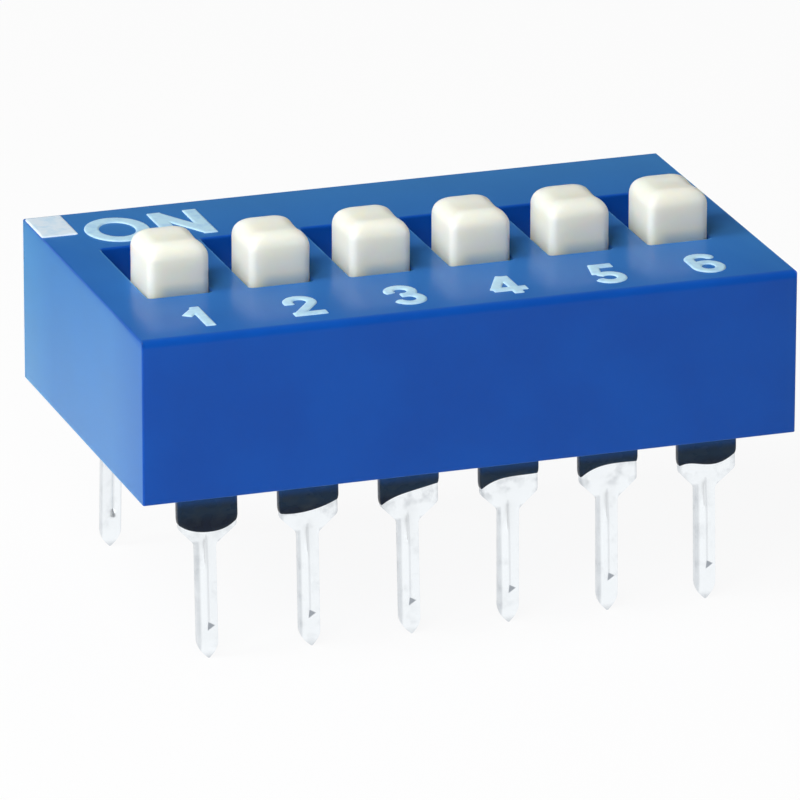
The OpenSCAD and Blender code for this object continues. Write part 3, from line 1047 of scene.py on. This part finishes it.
@dataclass
class Pin:
    """One stamped terminal: contact plate, bend, shoulder, taper and a ribbed stem with a tip."""

    number: int
    row_y: float = ROW_Y
    metal_t: float = 0.22
    bend_r: float = 0.1
    break_span: float = 0.6
    break_offset: float = 0.8
    slot_offset: float = 0.08
    shoulder_w: float = 1.44
    shoulder_l: float = 1.08
    shoulder_r: float = 0.16
    taper_l: float = 0.42
    stem_w: float = 0.52
    tip_l: float = 0.45
    tip_end: float = 0.04
    tip_r: float = 0.5
    splay: float = SPLAY
    rib_w: float = 0.36
    rib_h: float = 0.1
    rib_stop: float = 0.78
    rib_x: float = -0.06
    rib_margin: float = 0.02
    ridge_w: float = 0.04
    foot_slope: float = 0.24
    head_slope: float = 0.8
    edge_r: float = 0.035
    edge_share: float = 0.6
    rib_share: float = 0.9
    turn_span: tuple[float, float] = (0.14, 0.1)
    taper_margin: float = 0.04
    plate_rows: int = 5
    bend_rows: int = 8
    turn_points: int = 7
    edge_points: int = 4
    row_counts: tuple[int, ...] = (6, 10, 6, 8, 8, 10, 5, 14)

    def __post_init__(self) -> None:
        """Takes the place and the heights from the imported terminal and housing."""
        low, high = node_box(f"terminal_{self.number}")
        self.middle_x = (low[0] + high[0]) / 2
        self.plate_z = high[2]
        self.rim_z = node_box("housing")[0][2]
        self.side = -1 if self.number <= POSITIONS else 1
        self.shoulder_z = self.rim_z - self.shoulder_l
        self.stem_z = self.shoulder_z - self.taper_l
        self.rib_top = self.shoulder_z - self.taper_l / 2

    def world(self, points: Array) -> Array:
        """Puts points from the pin's own axes, across, outward and up, where the pin stands.

        The front row is the rear row turned half round.

        Args:
            points: array whose last axis is across, outward and up.

        Returns:
            The same array in the frame's axes.
        """
        return points * [self.side, self.side, 1] + [self.middle_x, 0, 0]

    def half_width(self, z: Array) -> Array:
        """Half width of the blade, shoulder, taper, stem and tip by height.

        The shoulder turns into the taper, and the stem into the tip's straight flank, along a
        part of a circle that touches both.

        Args:
            z: heights.

        Returns:
            The half widths.
        """
        wide, thin, end = self.shoulder_w / 2, self.stem_w / 2, self.tip_end / 2
        taper = self._turned(wide, self.shoulder_z, np.arctan2(wide - thin, self.taper_l), self.shoulder_r)
        tip = self._turned(thin, thin - end, np.pi / 4, self.tip_r)
        return np.interp(z, *np.concatenate([[[0.0, end]], tip, [[self.stem_z, thin]], taper]).T)

    def _turned(self, width: float, corner_z: float, slope: float, radius: float) -> Array:
        """Arc that turns an upright side inwards at a corner.

        With the angle t from the full slope down to 0, its height is c - r (sin t - tan(slope / 2))
        and its half width is w - r (1 - cos t).

        Args:
            width: half width above the corner.
            corner_z: height of the sharp corner.
            slope: angle of the lower side from upright.
            radius: radius of the arc.

        Returns:
            Rising heights and half widths, as rows of two.
        """
        turn = np.linspace(slope, 0, self.turn_points)
        return np.stack([corner_z - radius * (np.sin(turn) - np.tan(slope / 2)),
                         width - radius * (1 - np.cos(turn))], -1)

    def rows_z(self) -> Array:
        """Heights of the rows below the bend, closer where the shape turns.

        Returns:
            The heights from the rim down to the tip.
        """
        above, below = self.turn_span
        marks = [self.rim_z, self.shoulder_z + above, self.shoulder_z - below,
                 self.stem_z - self.taper_margin, self.rib_top - self.head_slope - self.rib_margin,
                 self.rib_stop + self.foot_slope + self.rib_margin, self.rib_stop - self.rib_margin,
                 self.tip_l, 0.0]
        runs = [np.linspace(a, b, n + 1)[:-1] for a, b, n in zip(marks, marks[1:], self.row_counts)]
        return np.concatenate(runs + [[0.0]])

    def centre_line(self, z: Array) -> Array:
        """Outward place of the metal's middle by height below the rim: it leans out to the tip."""
        return self.row_y + self.splay * np.clip(1 - z / self.rim_z, 0, 1)

    def _stray(self, z: Array) -> Array:
        """Place of the stem's middle by height, to the right as seen from outside."""
        top, foot, point = STRAY.get(self.number, (0.0, 0.0, 0.0))
        return np.interp(z, [0.0, self.tip_l, self.stem_z, self.shoulder_z], [foot + point, foot, top, 0.0])

    def rounded_side(self, half_w: Any, half_t: Any, edge: Any) -> tuple[Array, Array]:
        """Side of the strip's section, a quarter circle in from the outer face and one to the inner.

        With the angle t from 0 to 90 degrees, the point stands r (1 - sin t) inside the half width
        and r (1 - cos t) inside the half thickness.

        Args:
            half_w: half width.
            half_t: half thickness.
            edge: radius of the edges.

        Returns:
            Across and outward offsets.
        """
        turn = np.linspace(0, np.pi / 2, self.edge_points)
        turn, level = np.concatenate([turn, turn[::-1]]), np.repeat([1, -1], self.edge_points)
        return half_w - edge + edge * np.sin(turn), level * (half_t - edge * (1 - np.cos(turn)))

    def section(self, half_w: Array, half_t: Array, rib: Array) -> tuple[Array, Array]:
        """Section of the strip: a rectangle with rounded edges whose middle is pressed outwards.

        The rib's height falls in straight lines from its ridge to its two sides.

        Args:
            half_w: half width of each row.
            half_t: half thickness of each row.
            rib: height of the rib in each row.

        Returns:
            Across and outward offsets, as arrays of rows and columns.
        """
        half_w, half_t = half_w[:, None], half_t[:, None]
        edge = np.minimum(self.edge_r, self.edge_share * np.minimum(half_w, half_t))
        face = half_w - edge
        side, ridge, near = self.rib_w / 2, -self.rib_x, self.ridge_w / 2
        marks = np.array([side, (side + ridge) / 2, ridge + near, ridge, ridge - near,
                          (ridge - side) / 2, -side])
        across_face = np.concatenate([face, marks * np.minimum(1, self.rib_share * face / side), -face], 1)
        height = np.interp(marks, [-side, ridge, side], [0, 1, 0])
        lift = rib[:, None] * np.concatenate([[0], height, [0]])
        side_x, side_y = self.rounded_side(half_w, half_t, edge)
        across = np.concatenate([across_face[:, ::-1], side_x, across_face, -side_x[:, ::-1]], 1)
        outward = np.concatenate([half_t + lift[:, ::-1], side_y, lift - half_t, side_y[:, ::-1]], 1)
        return across, outward

    def grid(self) -> Array:
        """The strip's section carried along its path: plate, bend, blade, shoulder, stem and tip.

        Returns:
            A grid in the frame's axes, closed by a pole at each end.
        """
        half_t, end = self.metal_t / 2, self.tip_end / 2
        mid_r = self.bend_r + half_t
        corner_y, corner_z = self.row_y - mid_r, self.plate_z - self.metal_t - self.bend_r
        inner_y = self.break_span / 2 + self.side * (self.slot_offset + self.break_offset)
        plate_y = np.linspace(inner_y, corner_y, self.plate_rows)
        turn = np.linspace(0, np.pi / 2, self.bend_rows + 1)[1:]
        below, above = self.rows_z(), self.plate_rows + self.bend_rows
        y = np.concatenate([plate_y, corner_y + mid_r * np.sin(turn), self.centre_line(below)])
        plate_z = np.full(self.plate_rows, self.plate_z - half_t)
        z = np.concatenate([plate_z, corner_z + mid_r * np.cos(turn), below])
        lean = np.full(len(below), np.arctan2(self.splay, self.rim_z))
        lean[0] = lean[0] / 2
        bend = np.concatenate([np.full(self.plate_rows, np.pi / 2), np.pi / 2 - turn, lean])[:, None]
        half_w = np.concatenate([np.full(above, self.shoulder_w / 2), self.half_width(below)])
        coined = end + (half_t - end) * np.clip(below / self.tip_l, 0, 1)
        thick = np.concatenate([np.full(above, half_t), coined])
        rib_z = [self.rib_stop, self.rib_stop + self.foot_slope, self.rib_top - self.head_slope, self.rib_top]
        rib = self.rib_h * np.interp(z, rib_z, [0, 1, 1, 0])
        across, outward = self.section(half_w, thick, rib)
        local = np.stack([across - self._stray(z)[:, None], y[:, None] + outward * np.cos(bend),
                          np.maximum(z[:, None] + outward * np.sin(bend), 0.0)], -1)
        first, last = [np.broadcast_to(local[k].mean(0), local[:1].shape) for k in (0, -1)]
        return self.world(np.concatenate([first, local, last]))

    def build(self, material: Material) -> Piece:
        """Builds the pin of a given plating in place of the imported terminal."""
        piece = Solid(f"pin_{self.number}").grid(self.grid()).build(material, Slot.PIN, crease=50.0)
        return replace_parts(piece, f"terminal_{self.number}")


# Reach of the resin film below the rim, at even steps from a front pin's left edge to its right
# edge as seen from the front, and for the rear pins as seen from behind.
FILM_REACH: dict[int, tuple[float, ...]] = {
    1: (0.95, 1.13, 1.18, 1.14, 0.93), 2: (0.94, 0.97, 0.94, 0.86, 0.72),
    3: (1.02, 0.84, 0.75, 0.68, 0.61), 4: (0.91, 0.73, 0.67, 0.66, 0.65),
    5: (0.90, 0.71, 0.64, 0.63, 0.64), 6: (0.90, 0.87, 0.93, 0.90, 0.70),
    7: (0.72, 0.86, 0.92, 0.88, 0.80), 8: (0.66, 0.70, 0.78, 0.88, 0.92),
    9: (0.80, 0.92, 0.95, 0.86, 0.70), 10: (0.90, 0.82, 0.74, 0.70, 0.66),
    11: (0.70, 0.82, 0.93, 0.95, 0.84), 12: (0.86, 1.00, 1.06, 0.98, 0.82),
}


@dataclass
class Resin:
    """The black sealing resin: a bed inside the rim, and a film that has run down each shoulder."""

    film_t: float = 0.03
    film_bite: float = 0.004
    film_fade: float = 0.12
    film_gather: float = 1.5
    recess: float = 0.05
    bed_t: float = 0.3
    bed_gather: float = 1.6
    climb: float = 0.035
    climb_fade: float = 0.12
    rows: int = 14
    columns: int = 15
    bed_rows: int = 15
    bed_points: tuple[int, int] = (61, 31)
    bed_corner_steps: int = 2

    def _film(self, pin: Pin) -> Array:
        """Film around one shoulder: a sleeve that thins out to a rolled lower edge.

        Its reach is a smooth curve through the given depths, its thickness grows from the lower
        edge as the square root of the distance, and its inner face lies just inside the metal.

        Args:
            pin: the pin that it covers.

        Returns:
            A grid that closes on itself both ways.
        """
        depths = FILM_REACH[pin.number]
        curve = np.polynomial.Polynomial.fit(np.linspace(-1, 1, len(depths)), depths, len(depths) - 1)
        half_w, half_t, edge = pin.shoulder_w / 2, pin.metal_t / 2, pin.edge_r
        wide = np.linspace(-1, 1, self.columns) * (half_w - edge)
        edge_x, edge_y = pin.rounded_side(half_w, half_t, edge)
        outer_y = np.full(self.columns, half_t)
        x = np.concatenate([wide, edge_x, wide[::-1], -edge_x[::-1]])
        y = np.concatenate([outer_y, edge_y, -outer_y, edge_y[::-1]])
        normal = np.stack([np.clip((np.abs(a) - half + edge) / edge, 0, 1) * np.sign(a)
                           for a, half in ((x, half_w), (y, half_t))])
        normal /= np.linalg.norm(normal, axis=0)
        # the pin's own right is its left as seen from outside
        reach = curve(np.clip(-x / half_w, -1, 1))
        share = np.linspace(0, 1, self.rows) ** self.film_gather
        top_z = pin.rim_z + self.recess + self.bed_t / 2
        z = top_z - (1 - share)[::-1][:, None] * (reach + top_z - pin.rim_z)
        above_end = np.maximum(z - (pin.rim_z - reach), 0)
        swell = self.film_t * np.minimum(1, np.sqrt(above_end / self.film_fade))
        outer, inner = [np.stack([x + normal[0] * off, pin.centre_line(z) + y + normal[1] * off, z], -1)
                        for off in (swell, np.full_like(z, -self.film_bite))]
        return pin.world(np.concatenate([outer, inner[::-1], outer[:1]]))

    def _bed(self, housing: Housing, pins: Sequence[Pin]) -> Array:
        """Resin bed inside the rim, seen from below.

        Its surface is level but for a meniscus, a rise that dies away exponentially with the
        distance from the walls and from the pins.

        Args:
            housing: the housing that it seals.
            pins: the pins that it closes around.

        Returns:
            A grid that closes on itself, from the middle of the top round to the middle below.
        """
        half_x, half_y = housing.cavity
        level = housing.rim_z + self.recess
        kind = Outline(*(np.linspace(-1, 1, count) for count in self.bed_points), self.bed_corner_steps)
        grow, shrink = np.array([0.0, 1.0]), 1 - np.linspace(0, 1, self.bed_rows) ** self.bed_gather
        over = kind.rings(half_x * grow, half_y * grow, 0.0, level + self.bed_t)
        under = kind.rings(half_x * shrink, half_y * shrink, 0.0, level)
        x, y = under[..., 0], under[..., 1]
        away = np.minimum(half_x - np.abs(x), half_y - np.abs(y))
        for pin in pins:
            dx = np.maximum(np.abs(x - pin.middle_x) - pin.shoulder_w / 2, 0)
            dy = np.maximum(np.abs(y - pin.side * pin.row_y) - pin.metal_t / 2, 0)
            away = np.minimum(away, np.hypot(dx, dy))
        under[..., 2] -= self.climb * np.exp(-away / self.climb_fade)
        return np.concatenate([over, under])

    def build(self, material: Material, housing: Housing, pins: Sequence[Pin]) -> None:
        """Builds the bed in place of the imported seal, and the films on the shoulders.

        Args:
            material: the resin.
            housing: the housing that it seals.
            pins: the pins that it covers.
        """
        bed = Solid("resin_bed").grid(self._bed(housing, pins)).build(material, Slot.RESIN)
        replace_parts(bed, "seal")
        for pin in pins:
            Solid(f"resin_film_{pin.number}").grid(self._film(pin)).build(material, Slot.RESIN, crease=60.0)


# --------------------------------------------------------------------------------------
# Ink
# --------------------------------------------------------------------------------------

Field = Callable[[Array, Array], Array]
CHORDS = 16        # chords of an arc
RING_CHORDS = 40   # chords of a whole oval


def arc(centre: Sequence[float], radius: float, start: float, stop: float) -> Array:
    """Points along a circular arc from one angle in degrees to another, as rows of two."""
    turn = np.radians(np.linspace(start, stop, CHORDS + 1))
    return np.array(centre) + radius * np.stack([np.cos(turn), np.sin(turn)], -1)


def stroke(path: Any, width: float, end: StrokeEnd = StrokeEnd.SQUARE) -> Field:
    """A pen stroke as a field that is positive inside it.

    The field is half the width less the distance to the nearest chord of the path. A square end
    also cuts the first and last chords at their outer ends.

    Args:
        path: points that the pen follows.
        width: width of the stroke.
        end: how the stroke stops.

    Returns:
        The field.
    """
    points = np.array(path, float)
    first, last = (0, len(points) - 2) if end is StrokeEnd.SQUARE else (None, None)

    def value(x: Array, y: Array) -> Array:
        """Value of the field.

        Args:
            x: places along the row.
            y: places across it.

        Returns:
            The values.
        """
        best = np.full(x.shape, -np.inf)
        for k, (a, b) in enumerate(zip(points, points[1:])):
            length = np.hypot(*(b - a))
            u = (b - a) / length
            along = (x - a[0]) * u[0] + (y - a[1]) * u[1]
            near = np.clip(along, 0, length)
            inside = width / 2 - np.hypot(x - a[0] - near * u[0], y - a[1] - near * u[1])
            if k == first:
                inside = np.minimum(inside, along)
            if k == last:
                inside = np.minimum(inside, length - along)
            best = np.maximum(best, inside)
        return best

    return value


def union(*fields: Field) -> Field:
    """Field of several shapes together: the greatest of their fields."""
    return lambda x, y: np.max([f(x, y) for f in fields], axis=0)


def rectangle(width: float, height: float, radius: float) -> Field:
    """Field of an upright rectangle with rounded corners about its own middle.

    Outside the straight sides it is the radius less the distance to the inset rectangle.

    Args:
        width: width of the rectangle.
        height: height of the rectangle.
        radius: radius of its corners.

    Returns:
        The field.
    """

    def value(x: Array, y: Array) -> Array:
        """Value of the field.

        Args:
            x: places along the row.
            y: places across it.

        Returns:
            The values.
        """
        over_x, over_y = np.abs(x) - width / 2 + radius, np.abs(y) - height / 2 + radius
        outside = np.hypot(np.maximum(over_x, 0), np.maximum(over_y, 0))
        return radius - outside - np.minimum(np.maximum(over_x, over_y), 0)

    return value


@dataclass
class Lettering:
    """The ink on the roof: the numerals, the word ON and a plain corner mark."""

    ink_t: float = 0.03
    edge: float = 0.05
    step: float = 0.03
    spare_cells: int = 4
    digit_h: float = 1.4
    digit_w: float = 0.83
    digit_spare: tuple[float, float] = (0.2, 0.1)
    digit_stroke: float = 0.255
    digit_x: float = -0.015
    digit_y: float = -3.60
    digit_fall: float = 0.007
    word_h: float = 1.84
    letter_o_w: float = 1.6
    letter_n_w: float = 1.27
    letter_gap: float = 0.22
    word_stroke: float = 0.36
    word_x: float = -5.575
    word_y: float = 3.30
    mark_w: float = 0.92
    mark_h: float = 1.5
    mark_r: float = 0.05
    mark_x: float = -7.77
    mark_y: float = 4.03

    def numeral(self, n: int) -> Field:
        """Pen strokes of a numeral about its own middle.

        Args:
            n: the numeral, 1 to 6.

        Returns:
            The field of the numeral.
        """
        s = self.digit_stroke
        x, y = (self.digit_w - s) / 2, (self.digit_h - s) / 2
        top, foot = y + s / 2, -y - s / 2
        strokes = {
            1: [[(0.04, foot), (0.04, top)], [(0.04, y), (-1.1 * x, 0.2 * y)]],
            2: [[(-x, 0.25 * y), *arc((0, y - x), x, 180, -40), (-x, -y)],
                [(-x - s / 2, -y), (x + s / 2, -y)]],
            3: [[(-0.95 * x, 0.35 * y), *arc((-0.02, y / 2), y / 2, 175, -90)], [(-0.35 * x, 0), (0, 0)],
                arc((0.02, -y / 2), 1.05 * y / 2, 90, -165)],
            4: [[(s / 2, foot), (s / 2, y)], [(0.25 * s, y), (-1.35 * x, -0.62 * y)],
                [(-1.5 * x, -0.62 * y), (1.5 * x, -0.62 * y)]],
            5: [[(x + 0.3 * s, y), (-s / 2, y)], [(-0.3 * x, top), (-0.75 * x, 0)],
                arc((0.01, x - y), 1.03 * x, 132, -165)],
            6: [[(-x, x - y), *arc((0, y - x), x, 180, 20)]],
        }
        shapes = [stroke(path, s) for path in strokes[n]]
        if n == POSITIONS:
            shapes.append(self.ring(2 * x + s, 2.2 * x + s, s, (0, 1.1 * x - y)))
        return union(*shapes)

    def ring(self, width: float, height: float, pen: float, middle: Sequence[float]) -> Field:
        """An oval ring drawn with a round pen.

        Args:
            width: outer width.
            height: outer height.
            pen: width of the stroke.
            middle: middle of the oval.

        Returns:
            The field of the ring.
        """
        turn = np.linspace(0, 2 * np.pi, RING_CHORDS + 1)
        path = np.stack([np.cos(turn) * (width - pen) / 2, np.sin(turn) * (height - pen) / 2], -1)
        return stroke(path + middle, pen, StrokeEnd.ROUND)

    def word(self) -> tuple[Field, Field]:
        """The letters O and N, each about its own middle.

        Returns:
            The two fields.
        """
        s, h, w = self.word_stroke, self.word_h / 2, self.letter_n_w / 2
        posts = [stroke([(side * (w - s / 2), -h), (side * (w - s / 2), h)], s) for side in (-1, 1)]
        fall = stroke([(s / 2 - w, h - s / 3), (w - s / 2, s / 3 - h)], s)
        return self.ring(self.letter_o_w, self.word_h, s, (0, 0)), union(*posts, fall)

    def _cells(self, shape: Field, width: float, height: float) -> list[Array]:
        """Cuts a shape into faces along its outline.

        The field is sampled on a grid whose cells are split into triangles. A triangle that the
        outline crosses is cut where the field is zero, so the outline follows the shape.

        Args:
            shape: field of the shape about its middle.
            width: width of the sampled area.
            height: height of the sampled area.

        Returns:
            Arrays of faces, corners and (x, y, field).
        """
        x, y = np.meshgrid(*[(np.arange(count) - (count - 1) / 2) * self.step for count in
                             (int(size / self.step) + self.spare_cells for size in (width, height))])
        data = np.stack([x, y, shape(x, y)], -1)
        a, b, c, d = data[:-1, :-1], data[:-1, 1:], data[1:, 1:], data[1:, :-1]
        halves = [np.stack(corners, -2).reshape(-1, 3, 3) for corners in ([a, b, c], [a, c, d])]
        triangles = np.concatenate(halves)
        inside = triangles[..., 2] > 0
        count = inside.sum(1)
        faces = [triangles[count == 3]]
        for held in (1, 2):
            some, state = triangles[count == held], inside[count == held]
            odd = np.argmax(state if held == 1 else ~state, 1)
            order = (odd[:, None] + np.arange(3)) % 3
            p, q, r = np.take_along_axis(some, order[..., None], 1).transpose(1, 0, 2)
            pq, pr = [p + (to - p) * (p[:, 2] / (p[:, 2] - to[:, 2]))[:, None] for to in (q, r)]
            faces.append(np.stack([p, pq, pr] if held == 1 else [pq, q, r, pr], 1))
        return faces

    def _mark(self, solid: Solid, shape: Field, middle: Sequence[float], size: Sequence[float],
              housing: Housing) -> None:
        """Adds a mark whose top rises from its outline in a quarter circle, and whose back lies on the roof.

        Args:
            solid: the piece that the mark belongs to.
            shape: field of the mark about its middle.
            middle: place of the mark on the roof.
            size: width and height of the area that holds it.
            housing: the housing that carries the ink.
        """
        for block in self._cells(shape, *size):
            x, y = block[..., 0] + middle[0], block[..., 1] + middle[1]
            near = np.clip(block[..., 2] / self.edge, 0, 1)
            roof = housing.surface_z(x, y)
            solid.soup(np.stack([x, y, roof + self.ink_t * np.sqrt(1 - (1 - near) ** 2)], -1))
            solid.soup(np.stack([x, y, roof], -1)[:, ::-1])

    def build(self, ink: Material, mark_ink: Material, housing: Housing) -> None:
        """Prints the marks, one piece for the word, the numerals and the corner mark each.

        Args:
            ink: the ink of the word and the numerals.
            mark_ink: the thicker ink of the corner mark.
            housing: the housing that carries them.
        """
        numerals, word, mark = [Solid(f"ink_{name}") for name in ("numerals", "word", "corner_mark")]
        digit = (self.digit_w + self.digit_spare[0], self.digit_h + self.digit_spare[1])
        for n in NUMBERS:
            x = housing.position(n)
            place = (x + self.digit_x, self.digit_y - self.digit_fall * x)
            self._mark(numerals, self.numeral(n), place, digit, housing)
        left = self.word_x - (self.letter_o_w + self.letter_gap + self.letter_n_w) / 2
        for letter, width in zip(self.word(), (self.letter_o_w, self.letter_n_w)):
            self._mark(word, letter, (left + width / 2, self.word_y), (width, self.word_h), housing)
            left = left + width + self.letter_gap
        self._mark(mark, rectangle(self.mark_w, self.mark_h, self.mark_r), (self.mark_x, self.mark_y),
                   (self.mark_w, self.mark_h), housing)
        pieces = [solid.build(material, Slot.INK, crease=80.0)
                  for solid, material in ((numerals, ink), (word, ink), (mark, mark_ink))]
        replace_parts(pieces[0], "print")


# --------------------------------------------------------------------------------------
# Inner works
# --------------------------------------------------------------------------------------


@dataclass
class InnerWorks:
    """The base and the spring strips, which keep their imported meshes."""

    def dress(self) -> None:
        """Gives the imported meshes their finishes."""
        self._paint("base", FilledMoulding().material(), Slot.BASE)
        gilt = SpringGilt().material()
        for n in NUMBERS:
            self._paint(f"wiper_{n}", gilt, Slot.SPRING)

    @staticmethod
    def _paint(node: str, material: Material, slot: Slot) -> None:
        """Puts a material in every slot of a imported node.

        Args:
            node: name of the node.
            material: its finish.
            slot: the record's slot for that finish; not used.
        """
        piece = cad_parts[node]
        piece.data.materials.clear()
        piece.data.materials.append(material)
        log.info("%s: packed mesh, %s", node, material.name)


# --------------------------------------------------------------------------------------
# Studio
# --------------------------------------------------------------------------------------

WHITE = (1.0, 1.0, 1.0, 1.0)


def direction(azimuth: float, elevation: float) -> Array:
    """Unit vector from the object towards a viewer; azimuth 0 looks along +Y, -90 along +X."""
    a, e = np.radians([azimuth, elevation])
    return np.array([np.sin(a) * np.cos(e), -np.cos(a) * np.cos(e), np.sin(e)])


def axes_of(back: Array, roll: float = 0.0) -> Array:
    """Axes of a camera or lamp that looks along -back, turned about its view by roll degrees.

    Args:
        back: unit vector out of its back.
        roll: turn in degrees.

    Returns:
        Its side, up and back axes as the columns of a matrix.
    """
    side = np.cross([0, 0, 1], back)
    side /= np.linalg.norm(side)
    up = np.cross(back, side)
    c, s = np.cos(np.radians(roll)), np.sin(np.radians(roll))
    return np.stack([c * side + s * up, c * up - s * side, back], 1)


def placed(place: Array, axes: Array) -> Matrix:
    """Matrix in metres of an object with given axes.

    Args:
        place: where it stands, in millimetres.
        axes: its axes as the columns of a matrix.

    Returns:
        The matrix.
    """
    matrix = np.eye(4)
    matrix[:3, :3], matrix[:3, 3] = axes, place * MM
    return Matrix(matrix.tolist())


@dataclass(frozen=True)
class Softbox:
    """A square white lamp that faces the switch."""

    name: str
    azimuth: float
    elevation: float
    distance: float
    side: float
    power: float

    def build(self, target: Array) -> None:
        """Hangs the lamp at its angle and distance, facing the target.

        Args:
            target: point that it faces, in millimetres.
        """
        data = bpy.data.lights.new(self.name, "AREA")
        data.shape, data.size, data.energy = "SQUARE", self.side * MM, self.power
        lamp = bpy.data.objects.new(self.name, data)
        back = direction(self.azimuth, self.elevation)
        lamp.matrix_world = placed(target + back * self.distance, axes_of(back))
        bpy.context.scene.collection.objects.link(lamp)


@dataclass
class Studio:
    """Camera, lamps, white surroundings and a pale floor."""

    azimuth: float = -18.803
    elevation: float = 19.436
    roll: float = 0.087
    distance: float = 224.96
    lens: float = 415.4
    sensor: float = 36.0
    slide: tuple[float, float] = (-0.360, 0.053)
    shift: tuple[float, float] = (0.0102, 0.0025)
    clip: tuple[float, float] = (10.0, 10000.0)
    floor_side: float = 4000.0
    floor_tone: float = 0.9
    floor_glow: float = 0.93
    floor_fade: float = 0.9
    fade_y: tuple[float, float] = (9.0, 34.0)
    world_tone: float = 0.01
    sky_span: float = 1.5

    lamps: tuple[Softbox, ...] = (
        Softbox("key", -85, 39, 160, 56, 0.122),
        Softbox("key_top", -72, 65, 160, 70, 0.056),
        Softbox("front_left", -38, 40, 160, 80, 0.112),
        Softbox("front_low", -45, 15, 160, 70, 0.035),
        Softbox("right", 95, 20, 160, 70, 0.045),
        Softbox("rear", -158, 10, 160, 70, 0.014),
    )

    # Greys in the gloss, from the back wall forwards over the ceiling to the front.
    sky: tuple[tuple[float, float], ...] = (
        (0.0, 0.3), (0.14, 0.02), (0.3, 0.02), (0.42, 0.15), (0.6, 0.45), (1.0, 0.3),
    )

    def _camera(self, seat: Array) -> None:
        """Camera at the viewing angle, aimed at the middle of the housing's rim.

        Args:
            seat: middle of the rim, in millimetres.
        """
        data = bpy.data.cameras.new("camera")
        data.sensor_width, data.lens = self.sensor, self.lens
        data.shift_x, data.shift_y = self.shift
        data.clip_start, data.clip_end = [c * MM for c in self.clip]
        camera = bpy.data.objects.new("camera", data)
        axes = axes_of(direction(self.azimuth, self.elevation), self.roll)
        camera.matrix_world = placed(seat + axes @ [*self.slide, self.distance], axes)
        bpy.context.scene.collection.objects.link(camera)
        bpy.context.scene.camera = camera

    def _world(self) -> None:
        """World that is white to the camera, shows the sky in gloss and lights the rest evenly.

        The ramp runs over (z - y / 2 + 1 / 2) / span, with the direction's height z and depth y.
        """
        world = bpy.data.worlds.new("white_studio")
        bpy.context.scene.world = world
        nodes = Nodes(world)
        height, depth = nodes.coordinate("Generated", "Z"), nodes.coordinate("Generated", "Y")
        stops = [(share, (grey,) * 3) for share, grey in self.sky]
        ramp = nodes.node("ShaderNodeValToRGB", {0: (height - depth / 2 + 0.5) / self.sky_span}, stops=stops)
        lights = ({"Color": WHITE, "Strength": self.world_tone}, {"Color": ramp.outputs[0]}, {"Color": WHITE})
        even, gloss, white = [nodes.node("ShaderNodeBackground", light) for light in lights]
        seen = nodes.mixed(nodes.ray("Camera"), gloss, white)
        surface = nodes.mixed(nodes.shown(), even, seen)
        nodes.node("ShaderNodeOutputWorld", {"Surface": surface.outputs[0]})

    def _floor(self) -> None:
        """Pale floor at the pin tips: white with a faint shadow, and darker far back in gloss."""
        half = self.floor_side / 2 * MM
        mesh = bpy.data.meshes.new("floor")
        corners = [(-half, -half, 0), (half, -half, 0), (half, half, 0), (-half, half, 0)]
        mesh.from_pydata(corners, [], [(0, 1, 2, 3)])
        floor = bpy.data.objects.new("floor", mesh)
        bpy.context.scene.collection.objects.link(floor)
        material = bpy.data.materials.new("pale_floor")
        nodes = Nodes(material)
        paint = nodes.node("ShaderNodeBsdfDiffuse", {"Color": (*(self.floor_tone,) * 3, 1)})
        far = (nodes.coordinate("Object", "Y") / MM).step(*self.fade_y)
        strength = 1 - self.floor_fade * far * (1 - nodes.ray("Camera"))
        glow = nodes.node("ShaderNodeEmission", {"Strength": strength})
        surface = nodes.mixed(nodes.shown() * self.floor_glow, paint, glow)
        nodes.node("ShaderNodeOutputMaterial", {"Surface": surface.outputs[0]})
        mesh.materials.append(material)

    def build(self, seat: Array) -> None:
        """Sets up the studio around the switch.

        Args:
            seat: middle of the housing's rim, in millimetres.
        """
        self._camera(seat)
        self._world()
        self._floor()
        for lamp in self.lamps:
            lamp.build(seat)
        bpy.context.scene.view_settings.view_transform = "Standard"
        log.info("studio: %d lamps", len(self.lamps))


def main() -> None:
    """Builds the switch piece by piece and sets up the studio."""
    logging.basicConfig(level=logging.INFO, format="%(name)s: %(message)s")
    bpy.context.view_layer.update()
    housing = Housing()
    housing.build(HousingPlastic())
    nylon = KnobNylon(roof_z=housing.roof_z).material()
    for number in NUMBERS:
        Slide(number).build(nylon)
    tin = TinPlate().material()
    pins = [Pin(number) for number in range(1, 2 * POSITIONS + 1)]
    for pin in pins:
        pin.build(tin)
    Resin().build(SealingResin(rim_z=housing.rim_z).material(), housing, pins)
    mark_ink = PadInk("mark_ink", (0.76, 0.87, 0.96), (0.62, 0.80, 0.94))
    Lettering().build(PadInk().material(), mark_ink.material(), housing)
    InnerWorks().dress()
    Studio().build(np.array([0.0, 0.0, housing.rim_z]))


if __name__ == "__main__":
    main()
